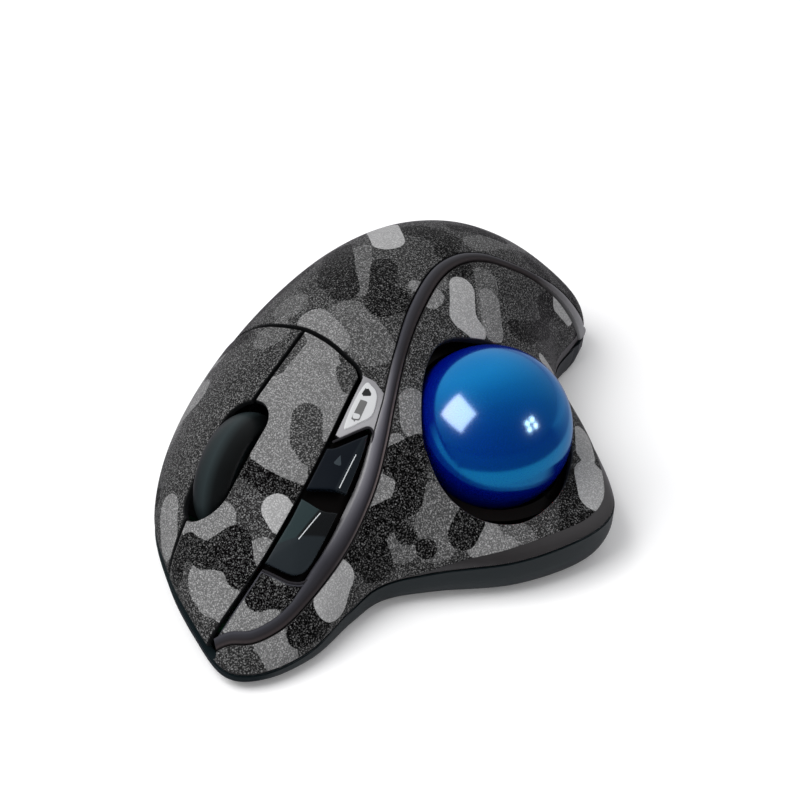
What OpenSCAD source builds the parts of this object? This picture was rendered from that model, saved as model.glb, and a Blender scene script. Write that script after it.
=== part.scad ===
// Thumb trackball mouse: side ball, two main buttons, scroll wheel, two side buttons.
// Frame: +Y front, +X little-finger side, +Z up, origin on the desk under the middle of the plan.

/* [Body] */
// Width across the thumb lobe
body_w = 92; // [86:0.5:100]
// Length from tail to front tip
body_l = 140; // [132:0.5:150]
// Height of the palm hump
body_h = 45.3; // [43.5:0.1:49]
// Shell wall
wall = 1.8; // [1.4:0.1:2.2]
// Floor thickness
floor_t = 1.8; // [1.5:0.1:2.1]
// Gap between fixed shells
seam = 0.2; // [0.1:0.05:0.4]
// Gap round the main buttons
button_gap = 0.8; // [0.6:0.05:1.1]
// Space under the button rims for the press
rim_gap = 1.6; // [1.4:0.1:2]
// Width of the trim strip in plan
strip_w = 2.2; // [1.6:0.1:3]

/* [Ball] */
// Ball diameter
ball_d = 34; // [33:0.1:34.6]
// Ball centre across
ball_x = -18.2; // [-20:0.1:-17]
// Ball centre along
ball_y = -1.2; // [-3:0.1:2]
// Ball centre height
ball_z = 22.8; // [22.6:0.1:24]
// Lean of the socket mouth away from upright
mouth_lean = 45; // [40:1:50]
// Turn of the socket mouth toward the front
mouth_turn = 12; // [0:1:20]
// Space between ball and socket
ball_gap = 0.9; // [0.6:0.05:1.2]
// Socket wall
socket_t = 2.3; // [1.8:0.1:2.6]
// Gap between socket and thumb shell
mouth_gap = 0.3; // [0.2:0.05:0.6]
// Gap between ball and the edge of its opening
edge_gap = 0.5; // [0.4:0.05:0.8]
// Height of the socket lip past the ball equator
lip = 4; // [2:0.1:5]
// Bearing ball diameter
bearing_d = 2.5; // [2:0.1:3]
// Hole for pushing the ball out
push_d = 11; // [9:0.5:12]

/* [Wheel] */
// Wheel diameter
wheel_d = 26; // [25:0.1:26.6]
// Wheel width
wheel_w = 8; // [7:0.1:8.6]
// Wheel centre across
wheel_x = 19.8; // [19.5:0.1:20.1]
// Wheel centre along
wheel_y = 34.3; // [34:0.1:34.6]
// Wheel centre height
wheel_z = 20.6; // [20.3:0.1:21]
// Tyre thickness
tyre_t = 2.5; // [2:0.1:3.5]
// Axle diameter
axle_d = 3; // [2.5:0.1:3.2]
// Running clearance on pins, per side
run_fit = 0.06; // [0.04:0.01:0.1]
// Space between wheel and carrier arm
arm_gap = 1.2; // [0.8:0.1:1.4]
// Carrier arm thickness
arm_t = 2; // [1.6:0.1:2.4]
// Carrier pivot along
pivot_y = 17; // [16:0.1:17.5]
// Carrier pivot height
pivot_z = 10.5; // [10:0.1:11.5]

/* [Side buttons] */
// Height of the side button caps above the shell
cap_rise = 0.7; // [0.4:0.1:1.2]
// Depth of the side button caps below the shell
cap_depth = 3.2; // [2.6:0.1:3.6]
// Gap round the side buttons
cap_gap = 0.5; // [0.4:0.05:0.7]
// Depth of the small side board below the shell
side_depth = 9; // [8.6:0.1:9.4]

/* [Power] */
// Cell diameter
cell_d = 14.3; // [13.8:0.1:14.5]
// Cell length
cell_l = 50.5; // [49.5:0.1:50.8]
// Cell centre across
cell_x = 21; // [20.6:0.1:21.4]
// Battery door thickness
door_t = 1.6; // [1.4:0.1:1.7]
// Gap round the battery door
door_gap = 0.35; // [0.3:0.05:0.5]
// Hinge pin diameter
hinge_d = 1.6; // [1.4:0.1:1.8]

/* [Hardware] */
// Foot pad height
foot_h = 0.8; // [0.6:0.1:1]
// Foot pad diameter
foot_d = 8; // [7:0.1:8.4]
// Case screw shank diameter
screw_d = 2.6; // [2.2:0.1:2.8]
// Case screw head diameter
head_d = 5; // [4.6:0.1:5.4]
// Screw post diameter
post_d = 6; // [5.4:0.1:6.4]
// Circuit board thickness
board_t = 1.4; // [1.2:0.1:1.6]
// Stand-off height under the main board
standoff_h = 1.6; // [1.4:0.1:1.8]

/* [Hidden] */
$fn = 32;
eps = 0.01;
tall = 70;
far = 90;
// Plan points: across, along, rim height, edge fullness
plan_points = [[2, 69.95, 4.5, 6], [-5, 66.5, 4, 6], [-10, 57, 4.5, 6], [-11.8, 45, 6, 6],
  [-14, 35.5, 8, 7], [-22, 27.5, 9.5, 8], [-35, 18.5, 10, 8], [-44, 8, 10.5, 8],
  [-46, -1.5, 10.5, 8], [-42, -10, 10.5, 8], [-31, -22, 10, 8], [-19, -33, 9, 7],
  [-10.5, -46, 7, 7], [-12, -58, 6, 6], [-8, -66.5, 5, 5], [6, -70, 5, 5],
  [21, -67, 5, 5], [35, -53, 5, 5], [43.5, -30, 6, 5], [46, -2, 6, 5],
  [44, 22, 6, 5], [36.5, 41, 6, 6], [24.5, 54.5, 6, 6], [12.5, 64.2, 6, 6]];
// Crown heights, rows front to rear, columns thumb side to finger side
crown_net = [[5, 5, 5, 7, 10, 8, 6],
  [8, 8, 10, 19, 24, 20, 14],
  [10, 11, 18, 32, 35, 32, 24],
  [12, 15, 27, 40, 43, 39, 30],
  [13, 17, 29, 44, 47, 42, 32],
  [13, 16, 27, 43, 47, 41, 29],
  [12, 13, 23, 37, 39, 33, 21],
  [9, 10, 17, 26, 26, 20, 13]];
net_left = -48;
net_front = 74;
net_step_x = 16;
net_step_y = 21;
plan_mid = [4, 0];
// Where the thumb shell ends at the tail
tail_y = -49;
// Where the nose panel starts
nose_y = 48;
// Middle line of the trim strip, front to tail
strip_points = [[5.5, 67.2], [3, 65.6], [-1, 63.5], [-4.4, 58.5], [-6.4, 51.5], [-7.6, 44], [-7.9, 36],
  [-7.4, 28.5], [-5.8, 21.5], [-3.6, 14.5], [-0.6, 4.5], [2, -6.5], [3.6, -18],
  [3, -26.5], [0.6, -33.5], [-3.4, -39.5], [-7.6, -46], [-11, -53.5], [-15, -62]];
// Seam on the thumb side of the left button, rear to front
left_seam = [[3, 15], [1.9, 30], [2, 42], [3.2, 54], [6.5, 68], [9, 76]];
// Seam between the main buttons, rear to front
split_seam = [[18.8, 9.5], [19.2, 18], [20.5, 30], [23, 47.5], [24, 58], [26, 76]];
// Rear seam of both buttons, thumb side to finger side
rear_seam = [[3, 14.4], [4.6, 13], [7.5, 12.2], [11.5, 11], [15, 10.2], [18.8, 9.5], [25, 8.9], [36, 7], [60, 4]];
// Opening for the ball, from above
mouth_points = [[-5, -3.5], [-5.3, 1], [-6.5, 5.5], [-8.8, 10.5], [-11.5, 14.8], [-14, 17], [-18, 19.2],
  [-22, 19.6], [-26.4, 18.6], [-30.7, 16], [-34, 12], [-35.8, 6], [-36, 0.5], [-34.8, -5], [-32.4, -11],
  [-27.6, -16.6], [-21.5, -19.4], [-15, -18.6], [-11, -15.2], [-8.6, -11.8], [-6.3, -8]];
// Opening for the side buttons
recess_points = [[1, 28.6], [-3.2, 21.9], [-5.4, 24.4], [-6.4, 30], [-6.5, 38.6], [-6.1, 45.5],
  [-5, 50.4], [-1.6, 52.4], [2.2, 53]];
// Status window plate
plate_points = [[1.7, 15.2], [-0.6, 14.8], [-1.9, 16], [-2.5, 19.2], [0.5, 25], [1.2, 24.6]];
// Line between the side buttons, thumb side to finger side
cap_split = [[-12, 37], [-3.4, 37.6], [6, 39.6]];

kx = body_w / 92;
ky = body_l / 140;
kz = body_h / 45.3;
floor_z = foot_h + floor_t;
board_z = floor_z + standoff_h;
board_top = board_z + board_t;
ball_at = [ball_x * kx, ball_y * ky, ball_z * kz];
wheel_at = [wheel_x * kx, wheel_y * ky, wheel_z * kz];
socket_r = ball_d / 2 + ball_gap;
socket_out = socket_r + socket_t;
seat_gap = 0.3;
slot_ahead = 3.5;
slot_half = wheel_d / 2 - 6;
arm_in = wheel_w / 2 + arm_gap;
arm_out = arm_in + arm_t;
encoder_t = 1.8;
switch_h = 6.6;
switch_w = 5.8;
switch_gap = 0.3;
tact = [6, 6, 3.5];
switch_top = board_top + switch_h;
knob_h = 1;
middle_switch_at = [wheel_at.x - arm_in - arm_t / 2, 47.5 * ky];
left_switch_at = [middle_switch_at.x - (tact.x + switch_w) / 2 - switch_gap, 48 * ky];
right_switch_at = [33 * kx, 28.6 * ky];
left_press = left_switch_at + [0, 2];
right_press = right_switch_at + [0, 2];
sensor_lean = 100;
sensor_turn = -8;
side_mid = [-2 * kx, 38 * ky];
side_lean = [-20, -37, 0];
side_steps = [-6.5, 7];
cell_mid_y = -20.8 * ky;
cell_z = foot_h + door_t + 0.4 + cell_d / 2;
spring_space = 4.2;
spring_in = 1.8;
spring_out = 4.2;
spring_h = 1.6;
spring_turn = 900;
wire_d = 0.7;
contact_t = 1.6;
bay_rear = cell_mid_y - cell_l / 2 - spring_space;
bay_front = cell_mid_y + cell_l / 2 + contact_t;
door_left = cell_x - cell_d / 2 - 11.4;
door_right = cell_x + cell_d / 2 + 1.4;
hinge_back = 1.6;
hinge_y = bay_rear - hinge_back;
door_corner = 1;
hinge_z = foot_h + door_t / 2 + 0.7;
power_at = [36.5 * kx, -17 * ky];
receiver_size = [6, 18.7, 14.4];
receiver_at = [door_left + 1.2, -45 * ky, foot_h + door_t + 0.4];
// Screw posts: across, along
palm_posts = [[4, -61], [38.5, -1]];
nose_post = [-0.5, 58.5];
thumb_posts = [[-38.6, -1.5], [-15, 25.5]];
all_posts = concat(palm_posts, thumb_posts, [nose_post]);
foot_spots = [nose_post, palm_posts[0], palm_posts[1], thumb_posts[0]];
boss_h = 1.9;
head_h = 1.7;
shank_l = 9;
board_holes = [[27.5, 26.5], [9.5, 58]];

// Smooth step between b and c on a curve through a, b, c and d
function pass(a, b, c, d, t) =
  0.5 * (2 * b + (c - a) * t + (2 * a - 5 * b + 4 * c - d) * t * t + (3 * b - a - 3 * c + d) * t * t * t);
// Closed smooth curve, n steps per point
function ring(p, n) = let (m = len(p))
  [for (i = [0:m - 1], s = [0:n - 1]) pass(p[(i + m - 1) % m], p[i], p[(i + 1) % m], p[(i + 2) % m], s / n)];
// Open smooth curve, n steps per point
function path(p, n) = let (m = len(p) - 1)
  concat([for (i = [0:m - 1], s = [0:n - 1]) pass(p[max(i - 1, 0)], p[i], p[i + 1], p[min(i + 2, m)], s / n)], [p[m]]);
function unit(v) = v / norm(v);
// Curve moved sideways by d, to the right of its run
function beside(c, d) = [for (i = [0:len(c) - 1])
  let (t = unit(c[min(i + 1, len(c) - 1)] - c[max(i - 1, 0)])) c[i] + d * [t.y, -t.x]];
function flip(c) = [for (i = [len(c) - 1:-1:0]) c[i]];
function fit_plan(c) = [for (p = c) [p.x * kx, p.y * ky]];
function spot(p) = [p.x * kx, p.y * ky];
function basis(t) = [(1 - t) ^ 3, 3 * t ^ 3 - 6 * t ^ 2 + 4, -3 * t ^ 3 + 3 * t ^ 2 + 3 * t + 1, t ^ 3] / 6;
// Net height with straight run-out past its edges
function net(i, j) = let (m = len(crown_net) - 1, n = len(crown_net[0]) - 1)
  i < 0 ? 2 * net(0, j) - net(1, j) : i > m ? 2 * net(m, j) - net(m - 1, j) :
  j < 0 ? 2 * net(i, 0) - net(i, 1) : j > n ? 2 * net(i, n) - net(i, n - 1) : crown_net[i][j];
// Crown height over a plan point
function crown(p) = let (
    v = (net_front - p.y / ky) / net_step_y,
    u = (p.x / kx - net_left) / net_step_x,
    i = min(max(floor(v), 0), len(crown_net) - 2),
    j = min(max(floor(u), 0), len(crown_net[0]) - 2))
  kz * basis(v - i) * [for (a = [-1:2]) [for (b = [-1:2]) net(i + a, j + b)]] * basis(u - j);
function plan() = ring([for (p = plan_points) [p[0] * kx, p[1] * ky, p[2], p[3]]], 3);
// Top surface point on the ray to plan point o, share r of the way out, depth d below the skin
function skin(o, r, d, lift) = let (
    out = [o[0], o[1]] - plan_mid,
    p = plan_mid + r * (1 - d / norm(out)) * out,
    rim = o[2] + lift)
  [p.x, p.y, rim + (crown(plan_mid + r * out) - d - rim) * sqrt(1 - r ^ o[3])];
function shares(n) = [for (i = [1:n]) 1 - (1 - i / n) ^ 1.8];
function sheet(o, d, lift) = [for (r = shares(8)) [for (p = o) skin(p, r, d, lift)]];
// Level ring of the case, drawn in by some millimetres, share h of the way from z to the rim
function band(o, in, z, h) = [for (p = o) let (
    out = [p[0], p[1]] - plan_mid,
    q = plan_mid + (1 - in / norm(out)) * out) [q.x, q.y, z + h * (p[2] - z)]];

// Solid through a stack of rings with a point at each end
module loft(first, rings, last) {
  n = len(rings[0]);
  m = len(rings);
  polyhedron(concat([first], [for (r = rings) each r], [last]), concat(
    [for (i = [0:n - 1]) [0, 1 + (i + 1) % n, 1 + i]],
    [for (k = [0:m - 2], i = [0:n - 1]) [1 + k * n + i, 1 + k * n + (i + 1) % n, 1 + (k + 1) * n + i]],
    [for (k = [0:m - 2], i = [0:n - 1])
      [1 + k * n + (i + 1) % n, 1 + (k + 1) * n + (i + 1) % n, 1 + (k + 1) * n + i]],
    [for (i = [0:n - 1]) [1 + m * n, 1 + (m - 1) * n + i, 1 + (m - 1) * n + (i + 1) % n]]));
}

// Layer of the top shell between two depths
module layer(top, under, lift) {
  o = plan();
  loft(skin(o[0], 0, top, lift), concat(sheet(o, top, lift), flip(sheet(o, under, lift))), skin(o[0], 0, under, lift));
}

// Everything below the top surface
module inside(d) {
  o = plan();
  loft(skin(o[0], 0, d, 0), concat(sheet(o, d, 0), [band(o, d, floor_z, 0)]), [plan_mid.x, plan_mid.y, floor_z]);
}

// Keeps the freeform pieces as one mesh
module moulding() {
  resize([0, 0, 0]) children();
}

module tower(points) {
  linear_extrude(tall) polygon(points);
}

function strip_line() = path(fit_plan(strip_points), 4);
function split_line() = path(fit_plan(split_seam), 4);
function left_line() = path(fit_plan(left_seam), 4);
function rear_line() = path(fit_plan(rear_seam), 3);

module thumb_area() {
  edge = [for (p = beside(strip_line(), strip_w / 2 + seam)) if (p.y > tail_y * ky) p];
  tip = [for (p = beside(flip(left_line()), button_gap / 2)) if (p.y > edge[0].y) p];
  tower(concat(tip, edge, [[-far, tail_y * ky], [-far, far]]));
}

module palm_area() {
  rear = beside(rear_line(), button_gap / 2);
  edge = beside(strip_line(), -strip_w / 2 - seam);
  left = beside(left_line(), -button_gap / 2);
  difference() {
    tower(concat(edge, [[0, -far], [far, -far]], flip(rear)));
    tower(concat(left, [[far, far], [far, 0]], flip(rear)));
  }
}

module left_area() {
  tower(concat(beside(left_line(), button_gap / 2), flip(beside(split_line(), -button_gap / 2))));
}

module right_area() {
  tower(concat(beside(split_line(), button_gap / 2), [[far, far], [far, 0]]));
}

module front_area() {
  rear = beside(rear_line(), -button_gap / 2);
  tower(concat([[-far, rear[0].y]], rear, [[far, far], [-far, far]]));
}

// Rounded slot in the buttons for the wheel
module wheel_slot() {
  for (s = [-1, 1])
    translate([wheel_at.x, wheel_at.y + slot_ahead + s * slot_half, floor_z])
      cylinder(d = wheel_w + 2, h = tall);
  translate([wheel_at.x - wheel_w / 2 - 1, wheel_at.y + slot_ahead - slot_half, floor_z])
    cube([wheel_w + 2, 2 * slot_half, tall]);
}

// Post with a blind bore for a screw
module post(p) {
  translate([p.x, p.y, floor_z + boss_h]) cylinder(d = post_d, h = tall);
}

module post_bore(p) {
  translate([p.x, p.y, floor_z]) cylinder(d = screw_d + 2 * run_fit, h = shank_l);
}

module socket_frame() {
  translate(ball_at) rotate([0, 0, 180 - mouth_turn]) rotate([0, mouth_lean, 0]) children();
}

module sensor_frame() {
  translate(ball_at) rotate([0, sensor_lean, sensor_turn]) children();
}

module side_frame() {
  translate([side_mid.x, side_mid.y, crown(side_mid)]) rotate(side_lean) children();
}

module bottom_case() {
  $fn = 16;
  color("DarkSlateGray") moulding() difference() {
    union() {
      shell_pan();
      for (p = all_posts)
        translate([spot(p).x, spot(p).y, foot_h + eps]) cylinder(d = foot_d - 0.4, h = floor_t + boss_h - eps);
      for (p = board_holes)
        translate([spot(p).x, spot(p).y, foot_h + eps]) cylinder(d = 5, h = floor_t + standoff_h - eps);
      pivot_stands();
      socket_stand();
      bay_walls();
      side_stand();
    }
    for (p = all_posts)
      translate([spot(p).x, spot(p).y, 0]) {
        cylinder(d = screw_d + 0.3, h = tall);
        cylinder(d = head_d + 0.2, h = foot_h + head_h + 0.05);
      }
    for (p = board_holes)
      translate([spot(p).x, spot(p).y, foot_h + 1]) cylinder(d = 2 + 2 * run_fit, h = tall);
    translate([ball_at.x, ball_at.y, 0]) cylinder(d = push_d + 1, h = floor_z + 12);
    door_opening();
    translate([power_at.x - 1.75, power_at.y - 4.5, 0]) cube([3.5, 9, floor_z + eps]);
  }
}

// Open pan of the lower case
module shell_pan() {
  o = plan();
  loft([plan_mid.x, plan_mid.y, floor_z], [band(o, wall + 4, floor_z, 0), band(o, wall + 0.8, floor_z, 0.5),
    band(o, wall, foot_h, 1), band(o, 0, foot_h, 1), band(o, 0.4, foot_h, 0.55), band(o, 1.8, foot_h, 0.2),
    band(o, 4, foot_h, 0)], [plan_mid.x, plan_mid.y, foot_h]);
}

// Uprights that hold the wheel carrier pivot
module pivot_stands() {
  difference() {
    for (s = [-1, 1])
      translate([wheel_at.x + s * (arm_out + 2) - 1.2, pivot_y * ky - 3.2, floor_z - eps])
        cube([2.4, 6.4, pivot_z + 3 - floor_z]);
    translate([0, pivot_y * ky, pivot_z]) rotate([0, 90, 0]) cylinder(d = axle_d + 2 * run_fit, h = far);
  }
}

// Ring that carries the ball socket
module socket_stand() {
  difference() {
    translate([ball_at.x, ball_at.y, floor_z - eps]) cylinder(d = push_d + 8, h = 6);
    translate(ball_at) sphere(r = socket_out + seat_gap, $fn = 32);
  }
}

// Walls round the cell and the stored receiver
module bay_walls() {
  deep = cell_z + 1.5 - floor_z;
  rear = bay_rear + 0.6;
  for (x = [door_left - 1.6, door_right + 0.2])
    translate([x, rear, floor_z - eps]) cube([1.4, bay_front - rear + 1, deep]);
  for (y = [rear, bay_front])
    translate([door_left - 1.6, y, floor_z - eps]) cube([door_right - door_left + 3.2, 1, deep]);
  for (x = [door_left + 0.4, door_right - 2.2])
    translate([x, hinge_y - 1.8, foot_h + 1]) cube([1.8, 3.6, floor_t + 1]);
  translate([receiver_at.x + receiver_size.x + 0.2, rear, floor_z + eps])
    cube([1, receiver_at.y + receiver_size.y - rear, 8]);
}

// Leaning post under the side board
module side_stand() {
  difference() {
    translate([-2.5 * kx, side_mid.y - 6, floor_z - eps]) cube([6, 9, tall / 2]);
    side_frame() translate([-far, -far, -side_depth - 1.2]) cube(2 * far);
  }
}

module door_opening() {
  translate([door_left, bay_rear, 0]) cube([door_right - door_left, bay_front - bay_rear, floor_z + eps]);
  translate([door_left + 2.4, hinge_y - 2.2, 0]) cube([door_right - door_left - 4.8, 2.3 + hinge_back, floor_z + 4]);
  translate([door_left + 0.2, hinge_y, hinge_z]) rotate([0, 90, 0])
    cylinder(d = hinge_d + 2 * run_fit, h = door_right - door_left - 0.4);
}

module palm_shell() {
  color("DimGray") moulding() difference() {
    union() {
      intersection() {
        layer(0, wall, 0);
        palm_area();
      }
      intersection() {
        inside(wall / 2);
        for (p = palm_posts) post(spot(p));
      }
    }
    for (p = palm_posts) post_bore(spot(p));
    recess();
    tower(fit_plan(plate_points));
    translate([-far, 22.4 * ky, 0]) cube([far - 3.4 * kx, far, tall]);
    translate([-far, 27 * ky, 0]) cube([far + 12 * kx, far, tall]);
  }
}

module thumb_shell() {
  color("DimGray") moulding() difference() {
    union() {
      intersection() {
        layer(0, wall, 0);
        thumb_area();
      }
      intersection() {
        inside(wall / 2);
        for (p = thumb_posts) post(spot(p));
      }
    }
    for (p = thumb_posts) post_bore(spot(p));
    tower(ring(fit_plan(mouth_points), 3));
    translate(ball_at) sphere(r = ball_d / 2 + edge_gap);
  }
}

// Strip along the thumb side together with the nose panel ahead of the side buttons
module trim_frame() {
  color("SlateGray") moulding() difference() {
    union() {
      intersection() {
        layer(0, wall, 0);
        trim_area();
      }
      intersection() {
        inside(wall / 2);
        post(spot(nose_post));
      }
    }
    post_bore(spot(nose_post));
    recess();
  }
}

// Plan of the strip, the nose panel and the side of the tail
module trim_area() {
  line = strip_line();
  tail = [for (p = line) if (p.y < tail_y * ky - seam) p];
  nose = [for (p = line) if (p.y > nose_y * ky) p];
  left = [for (p = beside(left_line(), -button_gap / 2)) if (p.y > nose_y * ky && p.y < nose[0].y) p];
  linear_extrude(tall) {
    polygon(concat(beside(line, strip_w / 2), flip(beside(line, -strip_w / 2))));
    polygon(concat([[tail[0].x, tail_y * ky - seam]], tail, [[-far, -far], [-far, tail_y * ky - seam]]));
    polygon(concat(nose, [[left[0].x, nose_y * ky]], left));
  }
}

// Well for the side buttons
module recess() {
  tower(path(fit_plan(recess_points), 3));
}

// Rear tongue that a main button bends on
module tongue(x, w) {
  intersection() {
    layer(wall + 0.5, wall + 1.9, rim_gap);
    translate([(x - w / 2) * kx, 3 * ky, 0]) cube([w * kx, 13, tall]);
  }
}

// Foot of a main button over its switch
module foot_stem(p) {
  intersection() {
    inside(wall / 2);
    translate([p.x, p.y, switch_top + knob_h + 0.05]) cylinder(d = 3.2, h = tall);
  }
}

module left_button() {
  color("Gray") moulding() union() {
    difference() {
      intersection() {
        layer(0, wall, rim_gap);
        left_area();
        front_area();
      }
      wheel_slot();
    }
    tongue(11, 10);
    neck(11, 8, wall);
    foot_stem(left_press);
  }
}

module right_button() {
  color("Gray") moulding() union() {
    difference() {
      intersection() {
        layer(0, wall, rim_gap);
        right_area();
        front_area();
      }
      wheel_slot();
    }
    tongue(28, 10);
    neck(28, 8, wall);
    foot_stem(right_press);
  }
}

// Web that joins a tongue to its button
module neck(x, w, top) {
  intersection() {
    layer(top - 0.3, top + 1.9, rim_gap);
    front_area();
    translate([(x - w / 2) * kx, 8 * ky, 0]) cube([w * kx, 8 * ky, tall]);
  }
}

// Cap of one side button in its local half of the opening
module cap(front) {
  line = path(fit_plan(cap_split), 3);
  edge = beside(line, front ? -cap_gap / 2 : cap_gap / 2);
  intersection() {
    layer(-cap_rise, cap_depth, 0);
    linear_extrude(tall) offset(delta = -cap_gap) polygon(path(fit_plan(recess_points), 3));
    tower(concat(edge, front ? [[far, far], [-far, far]] : [[far, -far], [-far, -far]]));
  }
}

// Stem from a side cap to its switch
module cap_stem(step) {
  side_frame() translate([0, step, tact.z - side_depth + 0.65]) cylinder(d = 1.6, h = side_depth - tact.z - 2.4);
}

module back_button() {
  color("Black") moulding() union() {
    cap(true);
    cap_stem(side_steps[1]);
  }
}

module forward_button() {
  color("Black") moulding() union() {
    cap(false);
    cap_stem(side_steps[0]);
  }
}

module status_window() {
  color("WhiteSmoke") moulding() intersection() {
    layer(-0.05, wall, 0);
    linear_extrude(tall) offset(delta = -0.15) polygon(fit_plan(plate_points));
  }
}

module ball() {
  color("RoyalBlue") translate(ball_at) sphere(d = ball_d, $fn = 96);
}

module ball_socket() {
  $fn = 24;
  color("Black") moulding() difference() {
    union() {
      intersection() {
        translate(ball_at) sphere(r = socket_out);
        socket_frame() translate([0, 0, lip - far]) cylinder(r = far, h = far);
        inside(wall + mouth_gap);
      }
      sensor_frame() translate([0, 0, socket_r - 1]) cylinder(d = 14, h = socket_t + 1.8);
    }
    translate(ball_at) sphere(r = socket_r);
    translate([ball_at.x, ball_at.y, 0]) cylinder(d = push_d, h = ball_at.z);
    sensor_frame() cylinder(d = 7, h = far);
    for (a = bearing_turns)
      translate(bearing_at(a)) sphere(d = bearing_d + 0.1, $fn = 24);
  }
}

bearing_turns = [52, 172, 292];
bearing_dip = -38;
function bearing_at(a) = ball_at + (ball_d / 2 + bearing_d / 2 + 0.03)
  * [cos(bearing_dip) * cos(a), cos(bearing_dip) * sin(a), sin(bearing_dip)];

module ball_bearings() {
  color("Silver") for (a = bearing_turns)
    translate(bearing_at(a)) sphere(d = bearing_d, $fn = 24);
}

module sensor_lens() {
  color("LightCyan") sensor_frame() union() {
    translate([0, 0, socket_r + 0.6]) cylinder(d = 6.8, h = socket_t + 0.2 + eps);
    translate([0, 0, socket_out + 0.8]) cylinder(d = 11, h = 1);
  }
}

module optical_sensor() {
  color("Black") sensor_frame() translate([-4.5, -5.5, socket_out + 1.8]) cube([9, 11, 2.4]);
}

module sensor_board() {
  color("DarkGreen") sensor_frame() translate([-8, -9, socket_out + 4.2]) cube([16, 18, board_t]);
}

// Turns the X axis of the wheel into the local Z axis
module wheel_frame() {
  translate(wheel_at) rotate([0, 90, 0]) children();
}

module wheel_tyre() {
  r = wheel_d / 2;
  color("DarkSlateGray") wheel_frame() rotate_extrude($fn = 96) intersection() {
    translate([r - tyre_t, -wheel_w / 2]) square([tyre_t, wheel_w]);
    translate([r - wheel_w * 0.62, 0]) circle(d = wheel_w * 1.24, $fn = 64);
  }
}

module wheel_hub() {
  color("DimGray") wheel_frame() difference() {
    cylinder(r = wheel_d / 2 - tyre_t, h = wheel_w - 0.6, center = true, $fn = 96);
    cylinder(d = axle_d, h = far, center = true);
    for (s = [-1, 1])
      translate([0, 0, s * wheel_w / 2]) difference() {
        cylinder(r = wheel_d / 2 - tyre_t - 1.6, h = 3, center = true, $fn = 96);
        cylinder(d = axle_d + 4, h = far, center = true);
      }
  }
}

module wheel_axle() {
  color("Silver") wheel_frame() cylinder(d = axle_d, h = 2 * (arm_out + encoder_t), center = true);
}

// Arm from the pivot to the axle
module carrier_arm() {
  hull() {
    translate([0, pivot_y * ky, pivot_z]) rotate([0, 90, 0]) cylinder(d = 6, h = arm_t, $fn = 32);
    translate([0, wheel_at.y, wheel_at.z]) rotate([0, 90, 0]) cylinder(d = axle_d + 2.8, h = arm_t, $fn = 32);
  }
}

module wheel_carrier() {
  bar = arm_out + 3.1;
  color("DimGray") difference() {
    union() {
      translate([wheel_at.x - arm_out, 0, 0]) carrier_arm();
      translate([wheel_at.x + arm_in, 0, 0]) carrier_arm();
      translate([wheel_at.x - bar, pivot_y * ky, pivot_z]) rotate([0, 90, 0]) cylinder(d = axle_d, h = 2 * bar);
      translate([wheel_at.x - arm_out, pivot_y * ky - 2.4, pivot_z - 2.4]) cube([2 * arm_out, 4.2, 4.2]);
      hull() {
        translate([wheel_at.x - arm_out, wheel_at.y, wheel_at.z]) rotate([0, 90, 0]) cylinder(d = axle_d + 2.8, h = arm_t, $fn = 32);
        translate([middle_switch_at.x, middle_switch_at.y, board_top + tact.z + 3]) cylinder(d = arm_t, h = 3, $fn = 32);
      }
      translate([middle_switch_at.x, middle_switch_at.y, board_top + tact.z + knob_h + 0.05]) cylinder(d = arm_t, h = 3);
    }
    translate([0, wheel_at.y, wheel_at.z]) rotate([0, 90, 0]) cylinder(d = axle_d + 2 * run_fit, h = far);
  }
}

module wheel_encoder() {
  color("Black") translate([wheel_at.x + arm_out, wheel_at.y, wheel_at.z]) difference() {
    union() {
      rotate([0, 90, 0]) cylinder(d = axle_d + 1.2, h = encoder_t);
      translate([0, -6.6, -7.5]) cube([encoder_t, 7, 7.5]);
    }
    translate([-eps, 0, 0]) rotate([0, 90, 0]) cylinder(d = axle_d + 2 * run_fit, h = far);
  }
}

module main_board() {
  color("DarkGreen") difference() {
    translate([0, 0, board_z]) linear_extrude(board_t)
      polygon(fit_plan([[4.2, 22], [39, 22], [33.5, 38], [23, 50], [13, 58], [12, 61], [4.2, 61]]));
    for (p = board_holes)
      translate([spot(p).x, spot(p).y, 0]) cylinder(d = 2.4, h = tall);
    translate([wheel_at.x - arm_in, wheel_at.y - wheel_d / 2 + 3, 0]) cube([2 * arm_in, wheel_d - 6, tall]);
  }
}

module radio_chip() {
  color("Black") translate([22 * kx, 43 * ky, board_top]) cube([6, 5, 1]);
}

// Snap switch with a slot for its plunger
module snap_switch(p, press) {
  difference() {
    translate([p.x - switch_w / 2, p.y - 6.4, board_top]) cube([switch_w, 12.8, switch_h]);
    translate([press.x - 0.8, press.y - 1.6, switch_top - 3.4]) cube([1.6, 3.2, 4]);
  }
}

module snap_plunger(press) {
  translate([press.x - 0.65, press.y - 1.45, switch_top - 2.2]) cube([1.3, 2.9, 2.2 + knob_h]);
}

module left_switch() {
  color("Black") snap_switch(left_switch_at, left_press);
}

module right_switch() {
  color("Black") snap_switch(right_switch_at, right_press);
}

module left_plunger() {
  color("Crimson") snap_plunger(left_press);
}

module right_plunger() {
  color("Crimson") snap_plunger(right_press);
}

module middle_switch() {
  color("Silver") translate([middle_switch_at.x, middle_switch_at.y, board_top]) difference() {
    translate([-tact.x / 2, -tact.y / 2, 0]) cube(tact);
    translate([0, 0, tact.z - 2.6]) cylinder(d = 3.4, h = 4);
  }
}

module middle_plunger() {
  color("Crimson") translate([middle_switch_at.x, middle_switch_at.y, board_top + tact.z - 1.6])
    cylinder(d = 3.2, h = 1.6 + knob_h);
}

module side_board() {
  color("DarkGreen") side_frame() translate([-4, -12, -side_depth - 1.2]) cube([8, 24, 1.2]);
}

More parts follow.
